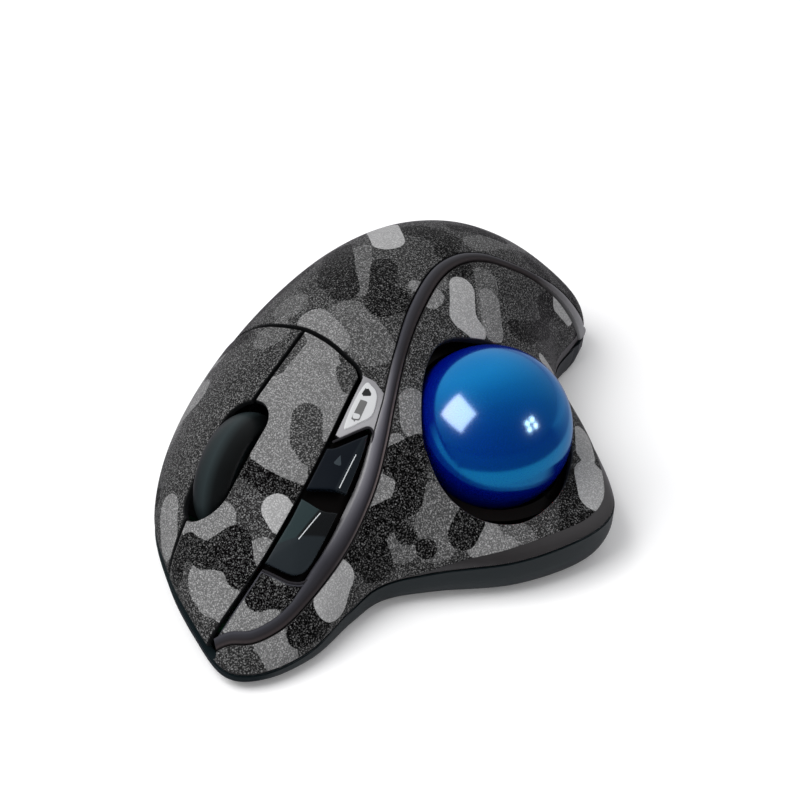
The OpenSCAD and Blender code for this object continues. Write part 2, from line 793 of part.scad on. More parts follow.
// Small switch on the side board
module side_switch(step) {
  side_frame() translate([0, step, -side_depth]) {
    translate([-tact.x / 2, -tact.y / 2, 0]) cube([tact.x, tact.y, tact.z - 0.6]);
    cylinder(d = 3, h = tact.z);
  }
}

module back_switch() {
  color("Silver") side_switch(side_steps[1]);
}

module forward_switch() {
  color("Silver") side_switch(side_steps[0]);
}

module battery() {
  color("Goldenrod") translate([cell_x, cell_mid_y - cell_l / 2, cell_z]) rotate([-90, 0, 0]) {
    cylinder(d = cell_d, h = cell_l - 1);
    cylinder(d = 5.4, h = cell_l);
  }
}

// Ring of the spring wire at turn angle a
function wire_ring(a) = let (
    share = a / spring_turn,
    out = spring_in + (spring_out - spring_in) * share,
    level = wire_d / 2 + (spring_h - wire_d / 2) * share)
  [for (k = [0:60:300]) let (r = out + wire_d / 2 * cos(k))
    [r * cos(a), r * sin(a), level + wire_d / 2 * sin(k)]];
function middle(r) = (r[0] + r[3]) / 2;

module battery_spring() {
  rings = [for (a = [0:30:spring_turn]) wire_ring(a)];
  color("Silver") translate([cell_x, cell_mid_y - cell_l / 2, cell_z]) rotate([90, 0, 0]) moulding() union() {
    loft(middle(rings[0]), rings, middle(rings[len(rings) - 1]));
    translate([-5, -5, spring_h]) cube([10, 10, 0.6]);
  }
}

module battery_contact() {
  color("Silver") translate([cell_x - 5, cell_mid_y + cell_l / 2, cell_z - 5]) cube([10, contact_t, 10]);
}

module battery_door() {
  color("DarkSlateGray") difference() {
    union() {
      translate([door_left + door_gap, bay_rear + door_corner, foot_h])
        cube([door_right - door_left - 2 * door_gap, bay_front - bay_rear - door_corner - door_gap, door_t]);
      translate([door_left + 2.6, hinge_y, hinge_z]) rotate([0, 90, 0]) cylinder(d = 2.8, h = door_right - door_left - 5.2);
      translate([door_left + 2.6, hinge_y, foot_h]) cube([door_right - door_left - 5.2, hinge_back + door_corner + eps, door_t]);
      translate([door_left + 0.6, hinge_y, hinge_z]) rotate([0, 90, 0]) cylinder(d = hinge_d, h = door_right - door_left - 1.2);
    }
    translate([(door_left + door_right) / 2, bay_front - 6, foot_h - 3]) rotate([0, 90, 0])
      cylinder(r = 3.6, h = 12, center = true);
  }
}

module power_knob() {
  color("Silver") translate([power_at.x, power_at.y - 1.5, 0]) {
    translate([-1.5, -2, foot_h - 0.4]) cube([3, 4, floor_t + 0.35]);
    translate([-0.8, -1, foot_h]) cube([1.6, 2, floor_t + 1.6]);
  }
}

module power_switch() {
  color("Black") translate([power_at.x, power_at.y, floor_z]) difference() {
    translate([-2.6, -5.4, 0]) cube([5.2, 10.8, 4]);
    translate([-1, -3, -eps]) cube([2, 6, 2]);
  }
}

module receiver() {
  color("Black") translate(receiver_at) cube(receiver_size);
}

module feet() {
  color("Black") for (p = foot_spots)
    translate([spot(p).x, spot(p).y, 0]) cylinder(d = foot_d, h = foot_h);
}

module case_screws() {
  color("Silver") for (p = all_posts)
    translate([spot(p).x, spot(p).y, foot_h + 0.05]) {
      cylinder(d = head_d, h = head_h);
      cylinder(d = screw_d, h = shank_l);
    }
}

module board_screws() {
  color("Silver") for (p = board_holes)
    translate([spot(p).x, spot(p).y, foot_h + 1.1]) {
      cylinder(d = 2, h = board_top - foot_h - 1);
      translate([0, 0, board_top - foot_h - 1.1]) cylinder(d = 4, h = 1.3);
    }
}

bottom_case();
palm_shell();
thumb_shell();
trim_frame();
left_button();
right_button();
back_button();
forward_button();
status_window();
ball();
ball_socket();
ball_bearings();
sensor_lens();
optical_sensor();
sensor_board();
wheel_tyre();
wheel_hub();
wheel_axle();
wheel_carrier();
wheel_encoder();
main_board();
radio_chip();
left_switch();
right_switch();
middle_switch();
left_plunger();
right_plunger();
middle_plunger();
side_board();
back_switch();
forward_switch();
battery();
battery_spring();
battery_contact();
battery_door();
power_knob();
power_switch();
receiver();
feet();
case_screws();
board_screws();
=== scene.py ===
import math

import bpy
import numpy as np
from mathutils import Matrix, Vector
from mathutils.geometry import delaunay_2d_cdt
from mathutils.kdtree import KDTree


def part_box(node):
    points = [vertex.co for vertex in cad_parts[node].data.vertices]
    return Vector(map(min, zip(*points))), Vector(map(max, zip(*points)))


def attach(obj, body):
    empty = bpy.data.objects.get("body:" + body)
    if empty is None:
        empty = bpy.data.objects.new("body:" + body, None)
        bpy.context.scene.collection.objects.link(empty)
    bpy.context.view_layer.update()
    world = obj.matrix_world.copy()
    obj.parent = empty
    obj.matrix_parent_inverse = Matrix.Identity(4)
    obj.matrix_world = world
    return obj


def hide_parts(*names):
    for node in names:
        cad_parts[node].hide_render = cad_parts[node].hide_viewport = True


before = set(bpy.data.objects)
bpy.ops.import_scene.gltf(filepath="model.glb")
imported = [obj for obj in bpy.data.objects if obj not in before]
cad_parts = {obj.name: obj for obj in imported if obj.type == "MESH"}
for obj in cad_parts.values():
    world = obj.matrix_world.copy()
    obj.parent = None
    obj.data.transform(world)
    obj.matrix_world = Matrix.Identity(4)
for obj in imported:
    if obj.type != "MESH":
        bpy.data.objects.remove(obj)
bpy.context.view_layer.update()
mm = 0.001  # shapes are worked out in millimetres, meshes are in metres

# the top skin of the mouse, from the same round numbers as its solids
skinForm = {
    # across, along, rim height, edge fullness, round the outline from the front tip
    "outline": [(2, 69.95, 4.5, 6), (-5, 66.5, 4, 6), (-10, 57, 4.5, 6), (-11.8, 45, 6, 6),
                (-14.4, 36.6, 7.4, 7), (-22.8, 29, 8.6, 8), (-35.6, 19.6, 9.6, 8), (-44, 8, 10.5, 8),
                (-46, -1.5, 10.5, 8), (-42, -10, 10.5, 8), (-31, -22, 10, 8), (-19, -33, 9, 7),
                (-12.4, -45.4, 7, 7), (-11.4, -58, 6, 6), (-8, -66.5, 5, 5), (6, -70, 5, 5),
                (21, -67, 5, 5), (35, -53, 5, 5), (43.5, -30, 6, 5), (46, -2, 6, 5),
                (44, 22, 6, 5), (36.5, 41, 6, 6), (24.5, 54.5, 6, 6), (12.5, 64.2, 6, 6)],
    # crown heights, rows from front to rear, columns from thumb side to finger side
    "crown": [(5, 5, 5, 7, 10, 8, 6), (8, 8, 10, 19, 24, 20, 14), (10, 11, 18, 32, 35, 32, 24),
              (12, 15, 27, 40, 43, 39, 30), (13, 17, 29, 44, 47, 42, 32), (13, 16, 27, 43, 47, 41, 29),
              (12, 13, 23, 37, 39, 33, 21), (9, 10, 17, 26, 26, 20, 13)],
    "netLeft": -48, "netFront": 74, "stepAcross": 16, "stepAlong": 21,
    "middle": (4, 0), "wall": 1.8, "buttonWall": 1.1, "rimGap": 1.6, "footHeight": 0.8,
}
toPicture = np.array((-0.39, 0.7, 0.6))  # from the mouse to the picture's point of view
# lines on the skin, seen from above
seamForm = {
    "strip": [(5.5, 67.2), (3, 65.6), (-1, 63.5), (-4.4, 58.5), (-6.4, 51.5), (-7.6, 44), (-7.9, 36),
              (-7.4, 28.5), (-5.8, 21.5), (-3.6, 14.5), (-0.6, 4.5), (2, -6.5), (3.6, -18), (3, -26.5),
              (0.6, -33.5), (-3.4, -39.5), (-7.2, -45.4), (-9.2, -50.6), (-10.4, -55), (-10.9, -59),
              (-10.6, -63), (-9, -68)],
    "left": [(3, 15), (1.9, 30), (2, 42), (3.2, 54), (6.5, 68), (9, 76)],
    "split": [(18.8, 9.5), (19.2, 18), (20.5, 30), (23, 47.5), (24, 58), (26, 76)],
    "rear": [(3, 14.4), (4.6, 13), (7.5, 12.2), (11.5, 11), (15, 10.2), (18.8, 9.5), (25, 8.9), (36, 7),
             (60, 4)],
    "well": [(1.6, 28.7), (-0.1, 26), (-1.5, 23.6), (-2.7, 21.6), (-3.6, 21.4), (-4.3, 22.3), (-5, 24.8),
             (-5.7, 30), (-6.1, 37), (-6.2, 44), (-5.9, 48.6), (-4.9, 51.1), (-3, 52.6), (-1, 53.2), (2.6, 53.8)],
    "wellLeft": [(3.5, 53.6), (2.5, 44), (2.2, 36), (2.2, 29.4)],
    "plate": [(1.7, 14.8), (0.4, 14.4), (-0.8, 14.8), (-1.7, 16.2), (-2.3, 19.3), (-1.1, 22.2), (0.2, 24.6),
              (1, 24.7), (1.7, 20)],
    "rearCap": [(-12, 31), (-6, 33.6), (-3.3, 35), (1.6, 38.4), (6, 41)],
    "frontCap": [(-12, 35), (-5.6, 37.5), (-2.5, 39.6), (1.4, 40.2), (6, 41)],
    "stripHalf": (1.2, 0.8), "stripFlare": 0.9, "seam": 0.2, "gap": 0.8, "noseLine": 48, "bead": 0.25,
}
# how sheets are meshed: the first is in millimetres, the others are shares of the spacing or of the edge rounding
sheetForm = {"sample": 0.3, "borderStep": 0.6, "rowStep": 0.866, "gridClear": 0.45, "edgeRows": (0.3, 0.65, 1.05),
             "rowClear": 0.9, "edgeClear": 1.4}


def throughPoints(points, steps, closed=False):
    # smooth curve through points, open or closed
    p = np.array(points, float)
    t = np.arange(steps)[:, None] / steps
    parts = []
    for i in range(len(p) if closed else len(p) - 1):
        a, b, c, d = (p.take(i + k, axis=0, mode="wrap" if closed else "clip") for k in (-1, 0, 1, 2))
        parts.append(0.5 * (2 * b + (c - a) * t + (2 * a - 5 * b + 4 * c - d) * t ** 2
                            + (3 * b - a - 3 * c + d) * t ** 3))
    return np.vstack(parts if closed else parts + [p[-1:]])


middle = np.array(skinForm["middle"], float)
outline = throughPoints(skinForm["outline"], 80, True)
outlineOut = outline[:, :2] - middle
outlineTurn = np.maximum.accumulate(np.unwrap(np.arctan2(outlineOut[:, 1], outlineOut[:, 0])))
outlineRows = np.c_[np.linalg.norm(outlineOut, axis=1), outline[:, 2:]]
outlineTurn = np.r_[outlineTurn, outlineTurn[0] + 2 * math.pi]
outlineRows = np.vstack([outlineRows, outlineRows[:1]])
crownNet = np.pad(np.array(skinForm["crown"], float), 1, mode="reflect", reflect_type="odd")


def splineShares(t):
    return np.array([(1 - t) ** 3, 3 * t ** 3 - 6 * t ** 2 + 4, -3 * t ** 3 + 3 * t ** 2 + 3 * t + 1, t ** 3]) / 6


def crownHeight(x, y):
    v = (skinForm["netFront"] - y) / skinForm["stepAlong"]
    u = (x - skinForm["netLeft"]) / skinForm["stepAcross"]
    i = np.clip(np.floor(v), 0, len(skinForm["crown"]) - 2).astype(int)
    j = np.clip(np.floor(u), 0, len(skinForm["crown"][0]) - 2).astype(int)
    rows, columns = splineShares(v - i), splineShares(u - j)
    return sum(rows[a] * columns[b] * crownNet[i + a, j + b] for a in range(4) for b in range(4))


def atTurn(turn):
    # reach of the outline, rim height and edge fullness in a direction from the middle
    wrapped = (turn - outlineTurn[0]) % (2 * math.pi) + outlineTurn[0]
    return [np.interp(wrapped, outlineTurn, outlineRows[:, k]) for k in range(3)]


def polar(points):
    # direction from the middle, share of the way to the outline, and what atTurn says there
    out = points - middle
    turn = np.arctan2(out[:, 1], out[:, 0])
    reach, rim, full = atTurn(turn)
    return turn, np.linalg.norm(out, axis=1) / reach, reach, rim, full


def skinHeight(points, lift=0.0):
    _, share, _, rim, full = polar(points)
    rim = rim + lift
    fall = np.sqrt(np.maximum(1 - np.minimum(share, 1) ** full, 0))
    return rim + (crownHeight(points[:, 0], points[:, 1]) - rim) * fall


# the skin rolled out flat: same turn round the middle, length measured along the surface
turnCount, runCount = 720, 200
gridTurn = np.linspace(0, 2 * math.pi, turnCount + 1)
gridShare = 1 - (1 - np.linspace(0, 1, runCount + 1)) ** 2
gridReach = atTurn(gridTurn)[0][:, None] * gridShare[None]
gridPlan = middle + gridReach[:, :, None] * np.stack([np.cos(gridTurn), np.sin(gridTurn)], 1)[:, None]
gridSkin = skinHeight(gridPlan.reshape(-1, 2)).reshape(gridReach.shape)
gridStep = np.sqrt((np.diff(gridPlan, axis=1) ** 2).sum(2) + np.diff(gridSkin, axis=1) ** 2)
gridLength = np.c_[np.zeros(turnCount + 1), np.cumsum(gridStep, axis=1)]


def lengthAt(turn, run):
    # length along the skin from the middle
    row = (turn % (2 * math.pi)) / (2 * math.pi) * turnCount
    col = np.clip(run, 0, 1) * runCount
    i, j = np.minimum(row.astype(int), turnCount - 1), np.minimum(col.astype(int), runCount - 1)
    a, b = row - i, col - j
    return ((1 - a) * ((1 - b) * gridLength[i, j] + b * gridLength[i, j + 1])
            + a * ((1 - b) * gridLength[i + 1, j] + b * gridLength[i + 1, j + 1]))


def toFlat(points):
    turn, share, reach, _, _ = polar(points)
    run = 1 - np.sqrt(np.maximum(1 - share, 0))
    length = lengthAt(turn, run) + np.maximum(share - 1, 0) * reach
    return np.c_[length * np.cos(turn), length * np.sin(turn)]


def fromFlat(flat):
    turn = np.arctan2(flat[:, 1], flat[:, 0])
    length = np.linalg.norm(flat, axis=1)
    low, high = np.zeros(len(flat)), np.ones(len(flat))
    for _ in range(40):
        run = (low + high) / 2
        short = lengthAt(turn, run) < length
        low, high = np.where(short, run, low), np.where(short, high, run)
    reach = atTurn(turn)[0]
    past = np.maximum(length - lengthAt(turn, np.ones(len(flat))), 0) / reach
    share = 1 - (1 - (low + high) / 2) ** 2 + past
    return middle + (share * reach)[:, None] * np.c_[np.cos(turn), np.sin(turn)]


def unit(rows):
    return rows / np.maximum(np.linalg.norm(rows, axis=1), 1e-12)[:, None]


def rightOf(run):
    return np.c_[run[:, 1], -run[:, 0]]


def beside(curve, distance):
    # a curve moved to its right
    return curve + rightOf(unit(np.gradient(curve, axis=0))) * np.reshape(distance, (-1, 1))


def inLoop(points, loop):
    x, y = points.T
    inside = np.zeros(len(points), bool)
    for (ax, ay), (bx, by) in zip(loop, np.roll(loop, -1, axis=0)):
        if ay != by:
            inside ^= ((ay > y) != (by > y)) & (x < (bx - ax) * (y - ay) / (by - ay) + ax)
    return inside


def resample(curve, step, closed=False):
    curve = np.vstack([curve, curve[:1]]) if closed else curve
    length = np.r_[0, np.cumsum(np.linalg.norm(np.diff(curve, axis=0), axis=1))]
    at = np.linspace(0, length[-1], max(int(length[-1] / step), 3) + 1)
    points = np.stack([np.interp(at, length, curve[:, k]) for k in range(curve.shape[1])], 1)
    return points[:-1] if closed else points


def growLoop(loop, distance):
    # moves a closed loop outwards (or inwards for a minus distance)
    loop = resample(loop, sheetForm["sample"], True)
    after = np.roll(loop, -1, axis=0)
    turnSign = np.sign(np.sum(loop[:, 0] * after[:, 1] - after[:, 0] * loop[:, 1]))
    return loop + rightOf(unit(after - np.roll(loop, 1, axis=0))) * distance * turnSign


def treeOf(points):
    tree = KDTree(len(points))
    for i, p in enumerate(points):
        tree.insert((*p, 0)[:3], i)
    tree.balance()
    return tree


def gapsTo(tree, points):
    return np.array([tree.find((*p, 0)[:3])[2] for p in points])


def treeOfLines(points, edges):
    steps = np.linspace(0, 1, 8)[:, None]
    return treeOf(np.vstack([points[a] + (points[b] - points[a]) * steps for a, b in edges]))


def sheetOf(curves, keep, spacing=1.0, rounding=0.25, wall=1.8, lift=0.0, rise=None):
    # the part of the skin that keep() accepts, as a closed sheet with rounded edges
    border, edges = [], []
    for curve, closed in curves:
        flat = resample(toFlat(resample(curve, sheetForm["sample"], closed)), spacing * sheetForm["borderStep"], closed)
        first, count = len(border), len(flat)
        border.extend(flat)
        edges.extend((first + i, first + (i + 1) % count) for i in range(count if closed else count - 1))
    border = np.array(border)
    borderTree = treeOfLines(border, edges)
    cloud = [border]
    a, b = (border[ends] for ends in np.transpose(edges))
    side = rightOf(unit(b - a))
    for share in sheetForm["edgeRows"]:
        row = np.vstack([(a + b) / 2 + side * share * rounding, (a + b) / 2 - side * share * rounding])
        row = row[keep(fromFlat(row))]
        cloud.append(row[gapsTo(borderTree, row) > share * rounding * sheetForm["rowClear"]])
    low, high = border.min(0), border.max(0)
    across = np.arange(low[0], high[0], spacing)
    grid = np.vstack([np.c_[across + (k % 2) * spacing / 2, np.full(len(across), row)]
                      for k, row in enumerate(np.arange(low[1], high[1], spacing * sheetForm["rowStep"]))])
    grid = grid[keep(fromFlat(grid))]
    cloud.append(grid[gapsTo(borderTree, grid) > max(rounding * sheetForm["edgeClear"], spacing * sheetForm["gridClear"])])
    found = delaunay_2d_cdt([Vector(p) for p in np.vstack(cloud)], edges, [], 0, 1e-4)
    flat = np.array([tuple(p) for p in found[0]])
    triangles = np.array([t for t in found[2] if len(t) == 3])
    triangles = triangles[keep(fromFlat(flat[triangles].mean(1)))]
    a, b, c = (flat[triangles[:, k]] for k in range(3))
    area = (b[:, 0] - a[:, 0]) * (c[:, 1] - a[:, 1]) - (b[:, 1] - a[:, 1]) * (c[:, 0] - a[:, 0])
    triangles[area < 0] = triangles[area < 0][:, ::-1]
    triangles = triangles[np.abs(area) > 1e-7]
    used, triangles = np.unique(triangles, return_inverse=True)
    triangles = triangles.reshape(-1, 3)
    plan = fromFlat(flat[used])
    skin = np.c_[plan, skinHeight(plan, lift)]
    normal = np.zeros_like(skin)
    corners = [skin[triangles[:, k]] for k in range(3)]
    facing = np.cross(corners[1] - corners[0], corners[2] - corners[0])
    for k in range(3):
        np.add.at(normal, triangles[:, k], facing)
    normal = unit(normal)
    directed = np.vstack([triangles[:, [0, 1]], triangles[:, [1, 2]], triangles[:, [2, 0]]]).tolist()
    known = set(map(tuple, directed))
    rim = [(i, j) for i, j in directed if (j, i) not in known]
    inward = np.minimum(gapsTo(treeOfLines(skin, rim), skin), rounding)
    inward[np.unique(rim)] = 0
    drop = rounding - np.sqrt(np.maximum(rounding ** 2 - (rounding - inward) ** 2, 0))
    height = np.zeros(len(skin)) if rise is None else rise(plan)
    n = len(skin)
    faces = [tuple(t) for t in triangles] + [tuple(t[::-1] + n) for t in triangles]
    faces += [(i, i + n, j + n, j) for i, j in rim]
    return {"points": np.vstack([skin + normal * (height - drop)[:, None], skin - normal * wall]),
            "faces": [tuple(int(i) for i in f) for f in faces], "skin": np.vstack([skin, skin])}


def addPiece(name, mesh, body):
    piece = bpy.data.objects.new(name, mesh)
    bpy.context.scene.collection.objects.link(piece)
    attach(piece, body)
    return piece


def meshPiece(name, sheets, finish, body, replaced=(), sharp=40):
    points, faces = [], []
    for sheet in sheets:
        first = sum(len(p) for p in points)
        points.append(sheet["points"])
        faces.extend(tuple(i + first for i in f) for f in sheet["faces"])
    mesh = bpy.data.meshes.new(name)
    mesh.from_pydata((np.vstack(points) * mm).tolist(), [], faces)
    mesh.polygons.foreach_set("use_smooth", [True] * len(mesh.polygons))
    mesh.set_sharp_from_angle(angle=math.radians(sharp))
    mesh.materials.append(finish)
    mesh.update()
    piece = addPiece(name, mesh, body)
    if replaced:
        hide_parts(*replaced)
    return piece


def ringFaces(rows, count, closed=True):
    # quads between neighbouring rings of count points
    faces = []
    for k in range(rows if closed else rows - 1):
        low, high = k * count, (k + 1) % rows * count
        faces += [(low + i, low + (i + 1) % count, high + (i + 1) % count, high + i) for i in range(count)]
    return faces


def turned(rows, axis, at, closed=True):
    # rows of (radius, along) per turn step, swept round an axis; rows[k] is one ring
    axis = np.array(axis, float) / np.linalg.norm(axis)
    side = np.cross(axis, (0, 0, 1.0) if abs(axis[2]) < 0.9 else (1.0, 0, 0))
    side /= np.linalg.norm(side)
    other = np.cross(axis, side)
    count = rows.shape[1]
    turn = np.arange(count) / count * 2 * math.pi
    ring = np.cos(turn)[:, None] * side + np.sin(turn)[:, None] * other
    points = np.array(at) + rows[:, :, :1] * ring[None] + rows[:, :, 1:] * axis
    return {"points": points.reshape(-1, 3), "faces": ringFaces(len(rows), count, closed)}


print("surface ready")


def tint(red, green, blue):
    # screen colour, 0 to 255, as the linear colour that a socket takes
    return tuple((v / 255 / 12.92 if v < 10.3 else ((v / 255 + 0.055) / 1.055) ** 2.4)
                 for v in (red, green, blue)) + (1.0,)


def grey(level):
    return (level / 255, level / 255, level / 255, 1)


def addNode(tree, kind, settings=None, **values):
    node = tree.nodes.new(kind)
    for key, value in (settings or {}).items():
        setattr(node, key, value)
    for key, value in values.items():
        node.inputs[key.replace("_", " ")].default_value = value
    return node


def joined(tree, *pairs):
    for source, target in pairs:
        tree.links.new(source, target)


def feed(tree, node, **values):
    # links values to the sockets of a node by name
    joined(tree, *((value, node.inputs[key.replace("_", " ")]) for key, value in values.items()))


def objectPlace(tree):
    return addNode(tree, "ShaderNodeTexCoord").outputs["Object"]


def along(tree, direction, place=None):
    # how far along a direction a place lies
    measured = addNode(tree, "ShaderNodeVectorMath", {"operation": "DOT_PRODUCT"})
    measured.inputs[1].default_value = direction
    joined(tree, (objectPlace(tree) if place is None else place, measured.inputs[0]))
    return measured.outputs["Value"]


def maths(tree, operation, first, second):
    node = addNode(tree, "ShaderNodeMath", {"operation": operation})
    joined(tree, (first, node.inputs[0]), (second, node.inputs[1]))
    return node.outputs["Value"]


def mapped(tree, value, low, high, outLow, outHigh):
    node = addNode(tree, "ShaderNodeMapRange")
    for k, number in enumerate((low, high, outLow, outHigh)):
        node.inputs[k + 1].default_value = number
    joined(tree, (value, node.inputs[0]))
    return node.outputs[0]


def mixColours(tree, factor, first, second):
    mix = tree.nodes.new("ShaderNodeMix")
    mix.data_type = "RGBA"
    for socket, value in ((mix.inputs[0], factor), (mix.inputs[6], first), (mix.inputs[7], second)):
        if isinstance(value, tuple):
            socket.default_value = value
        else:
            joined(tree, (value, socket))
    return mix.outputs[2]


def rampOf(tree, value, stops):
    ramp = addNode(tree, "ShaderNodeValToRGB")
    while len(ramp.color_ramp.elements) < len(stops):
        ramp.color_ramp.elements.new(0.5)
    for element, (at, colour) in zip(ramp.color_ramp.elements, stops):
        element.position, element.color = at, colour
    feed(tree, ramp, Fac=value)
    return ramp.outputs["Color"]


def newGroup(name, inputs, outputs):
    group = bpy.data.node_groups.new(name, "ShaderNodeTree")
    for label, value in inputs.items():
        group.interface.new_socket(label, in_out="INPUT", socket_type="NodeSocketFloat").default_value = value
    for label in outputs:
        group.interface.new_socket(label, in_out="OUTPUT", socket_type="NodeSocketFloat")
    return group, group.nodes.new("NodeGroupInput"), group.nodes.new("NodeGroupOutput")


def mouldGrainGroup():
    # fine spark-eroded grain for the bump, and slow cloudy patches for tone and gloss
    group, given, out = newGroup("mouldGrain", {"Grain": 3000.0, "Patch": 60.0}, ("Height", "Tone"))
    for label, scale, detail, rough in (("Height", "Grain", 3.0, 0.6), ("Tone", "Patch", 5.0, 0.55)):
        noise = addNode(group, "ShaderNodeTexNoise", Detail=detail, Roughness=rough)
        feed(group, noise, Vector=objectPlace(group), Scale=given.outputs[scale])
        joined(group, (noise.outputs["Fac"], out.inputs[label]))
    return group


def speckGroup():
    # scattered small flakes: a share of the cells shows a dot
    group, given, out = newGroup("flakeSpecks", {"Cells": 2600.0, "Share": 0.4, "Size": 0.35}, ("Mask",))
    cells, split = addNode(group, "ShaderNodeTexVoronoi"), addNode(group, "ShaderNodeSeparateColor")
    feed(group, cells, Vector=objectPlace(group), Scale=given.outputs["Cells"])
    feed(group, split, Color=cells.outputs["Color"])
    chosen = maths(group, "LESS_THAN", split.outputs["Red"], given.outputs["Share"])
    dot = maths(group, "LESS_THAN", cells.outputs["Distance"], given.outputs["Size"])
    feed(group, out, Mask=maths(group, "MULTIPLY", chosen, dot))
    return group


def paintedReflectionGroup():
    # mask for the painted reflection: 0 behind the ball and 1 in front of it, measured towards the point of view
    group, _, out = newGroup("paintedReflectionTone", {}, ("Tone",))
    ahead = along(group, (toPicture[0], toPicture[1], 0))
    feed(group, out, Tone=mapped(group, ahead, 0.013, 0.017, 0, 1))
    return group


grainGroup, flakeGroup, paintedReflectionTone = mouldGrainGroup(), speckGroup(), paintedReflectionGroup()


def placeGroup(tree, group, **values):
    node = tree.nodes.new("ShaderNodeGroup")
    node.node_tree = group
    for key, value in values.items():
        node.inputs[key].default_value = value
    return node


def grainOf(tree, grain=3000.0, patch=60.0):
    skin = placeGroup(tree, grainGroup, Grain=grain, Patch=patch)
    return skin.outputs["Height"], skin.outputs["Tone"]


def newFinish(name, **sockets):
    finish = bpy.data.materials.new(name)
    finish.use_nodes = True
    shader = finish.node_tree.nodes["Principled BSDF"]
    for key, value in sockets.items():
        shader.inputs[key.replace("_", " ")].default_value = value
    return finish, finish.node_tree, shader


def bumped(tree, shader, height, strength, distance):
    bump = addNode(tree, "ShaderNodeBump", Strength=strength, Distance=distance)
    feed(tree, bump, Height=height)
    feed(tree, shader, Normal=bump.outputs["Normal"])


def toned(tree, value, low, high):
    # a noise value spread over a range
    return mapped(tree, value, 0.3, 0.7, low, high)


def cloudy(tree, tone, first, second, most=1):
    # the second colour laid over the first in slow patches
    return mixColours(tree, toned(tree, tone, 0, most), first, second)


def paintedReflectionColour(tree, colour):
    # painted reflection: to glossy rays the colour is swapped for nearly black behind the ball and pale in front of it,
    # so the ball mirrors it that way
    mirrored = mixColours(tree, placeGroup(tree, paintedReflectionTone).outputs["Tone"], tint(14, 14, 18), tint(200, 200, 204))
    return mixColours(tree, addNode(tree, "ShaderNodeLightPath").outputs["Is Glossy Ray"], colour, mirrored)


def mouldedFinish(name, gloss, level, colourOf):
    # moulded plastic or rubber with cloudy gloss and fine grain
    finish, tree, shader = newFinish(name, Specular_IOR_Level=level)
    height, tone = grainOf(tree)
    feed(tree, shader, Base_Color=colourOf(tree, tone), Roughness=toned(tree, tone, gloss - 0.04, gloss + 0.04))
    bumped(tree, shader, height, 0.5, 0.00002)
    return finish


plasticForm = {
    # darker tone, lighter tone, roughness, level of the reflection
    "case": ((17, 26, 29), (21, 30, 33), 0.42, 0.25), "shell": ((38, 36, 37), (44, 42, 43), 0.4, 0.5),
    # well: near black, for the socket and for the painted shade of the well floor
    "inShell": ((20, 21, 22), (25, 26, 27), 0.45, 0.2), "well": ((8, 6, 6), (12, 9, 8), 0.3, 0.08),
    "plate": ((196, 197, 198), (206, 207, 208), 0.3, 0.5), "ink": ((22, 22, 24), (28, 28, 30), 0.4, 0.5),
    "greyInk": ((98, 98, 98), (106, 106, 106), 0.4, 0.5), "knob": ((150, 30, 26), (170, 38, 32), 0.4, 0.5),
    "foot": ((52, 54, 56), (64, 66, 68), 0.55, 0.5), "inner": ((196, 194, 186), (210, 208, 200), 0.45, 0.5),
    "plunger": ((168, 44, 34), (186, 54, 42), 0.35, 0.5), "chip": ((22, 23, 25), (32, 33, 35), 0.5, 0.5),
    # edge: near-white plastic for the painted highlight lines along the side-button ridges
    "ceramic": ((9, 9, 10), (14, 14, 15), 0.4, 0.05), "edge": ((196, 200, 202), (206, 210, 212), 0.3, 0.5),
    "arrow": ((36, 46, 52), (42, 52, 58), 0.25, 0.5),
}


def plasticFinish(name):
    dark, light, gloss, level = plasticForm[name]

    def colourOf(tree, tone):
        colour = cloudy(tree, tone, tint(*dark), tint(*light))
        # the thumb shell shows the painted reflection to glossy rays
        return paintedReflectionColour(tree, colour) if name == "shell" else colour

    return mouldedFinish(name + "Plastic", gloss, level, colourOf)


plastics = {name: plasticFinish(name) for name in plasticForm}


def fieldOf(tree, name):
    return addNode(tree, "ShaderNodeAttribute", {"attribute_name": name}).outputs["Fac"]


def stripFinish():
    # pewter paint, with a painted reflection across the ridge (lighter palm edge, dark core, brownish thumb edge), a
    # brighter painted highlight along the palm edge beside the side buttons, and a pale tail
    finish, tree, shader = newFinish("pewterStrip", Roughness=0.45, Specular_IOR_Level=0.15)
    height, tone = grainOf(tree, 2600.0, 45.0)
    place = mapped(tree, fieldOf(tree, "across"), -1, 1, 0, 1)
    paintedReflectionSlate = rampOf(tree, place, [(0, tint(64, 64, 70)), (0.3, tint(44, 44, 49)), (0.65, tint(34, 31, 33)),
                                 (0.88, tint(52, 46, 46)), (1, tint(36, 32, 32))])
    paintedHighlightRamp = rampOf(tree, place, [(0, tint(176, 175, 177)), (0.06, tint(124, 123, 129)), (0.22, tint(96, 95, 102)),
                                  (0.44, tint(56, 54, 61)), (0.7, tint(20, 18, 20)), (0.88, tint(124, 112, 111)),
                                  (1, tint(62, 56, 56))])
    colour = mixColours(tree, fieldOf(tree, "paintedShine"), paintedReflectionSlate, paintedHighlightRamp)
    colour = mixColours(tree, fieldOf(tree, "tail"), colour, tint(146, 146, 148))
    feed(tree, shader, Base_Color=cloudy(tree, tone, colour, tint(40, 38, 44), 0.25))
    bumped(tree, shader, height, 0.3, 0.00001)
    return finish


def ballFinish():
    # deep blue pearl: violet blue where little is mirrored, azure where the room is
    finish, tree, shader = newFinish("pearlBall", Roughness=0.15, IOR=3.2, Specular_Tint=(0.02, 0.62, 1.0, 1.0))
    flakes = placeGroup(tree, flakeGroup, Cells=5200.0, Share=0.3, Size=0.5).outputs["Mask"]
    colour = cloudy(tree, grainOf(tree, 4200.0, 90.0)[1], tint(0, 12, 118), tint(0, 14, 126))
    colour = mixColours(tree, mapped(tree, flakes, 0, 1, 0, 0.08), colour, tint(0, 90, 190))
    feed(tree, shader, Base_Color=colour)
    return finish


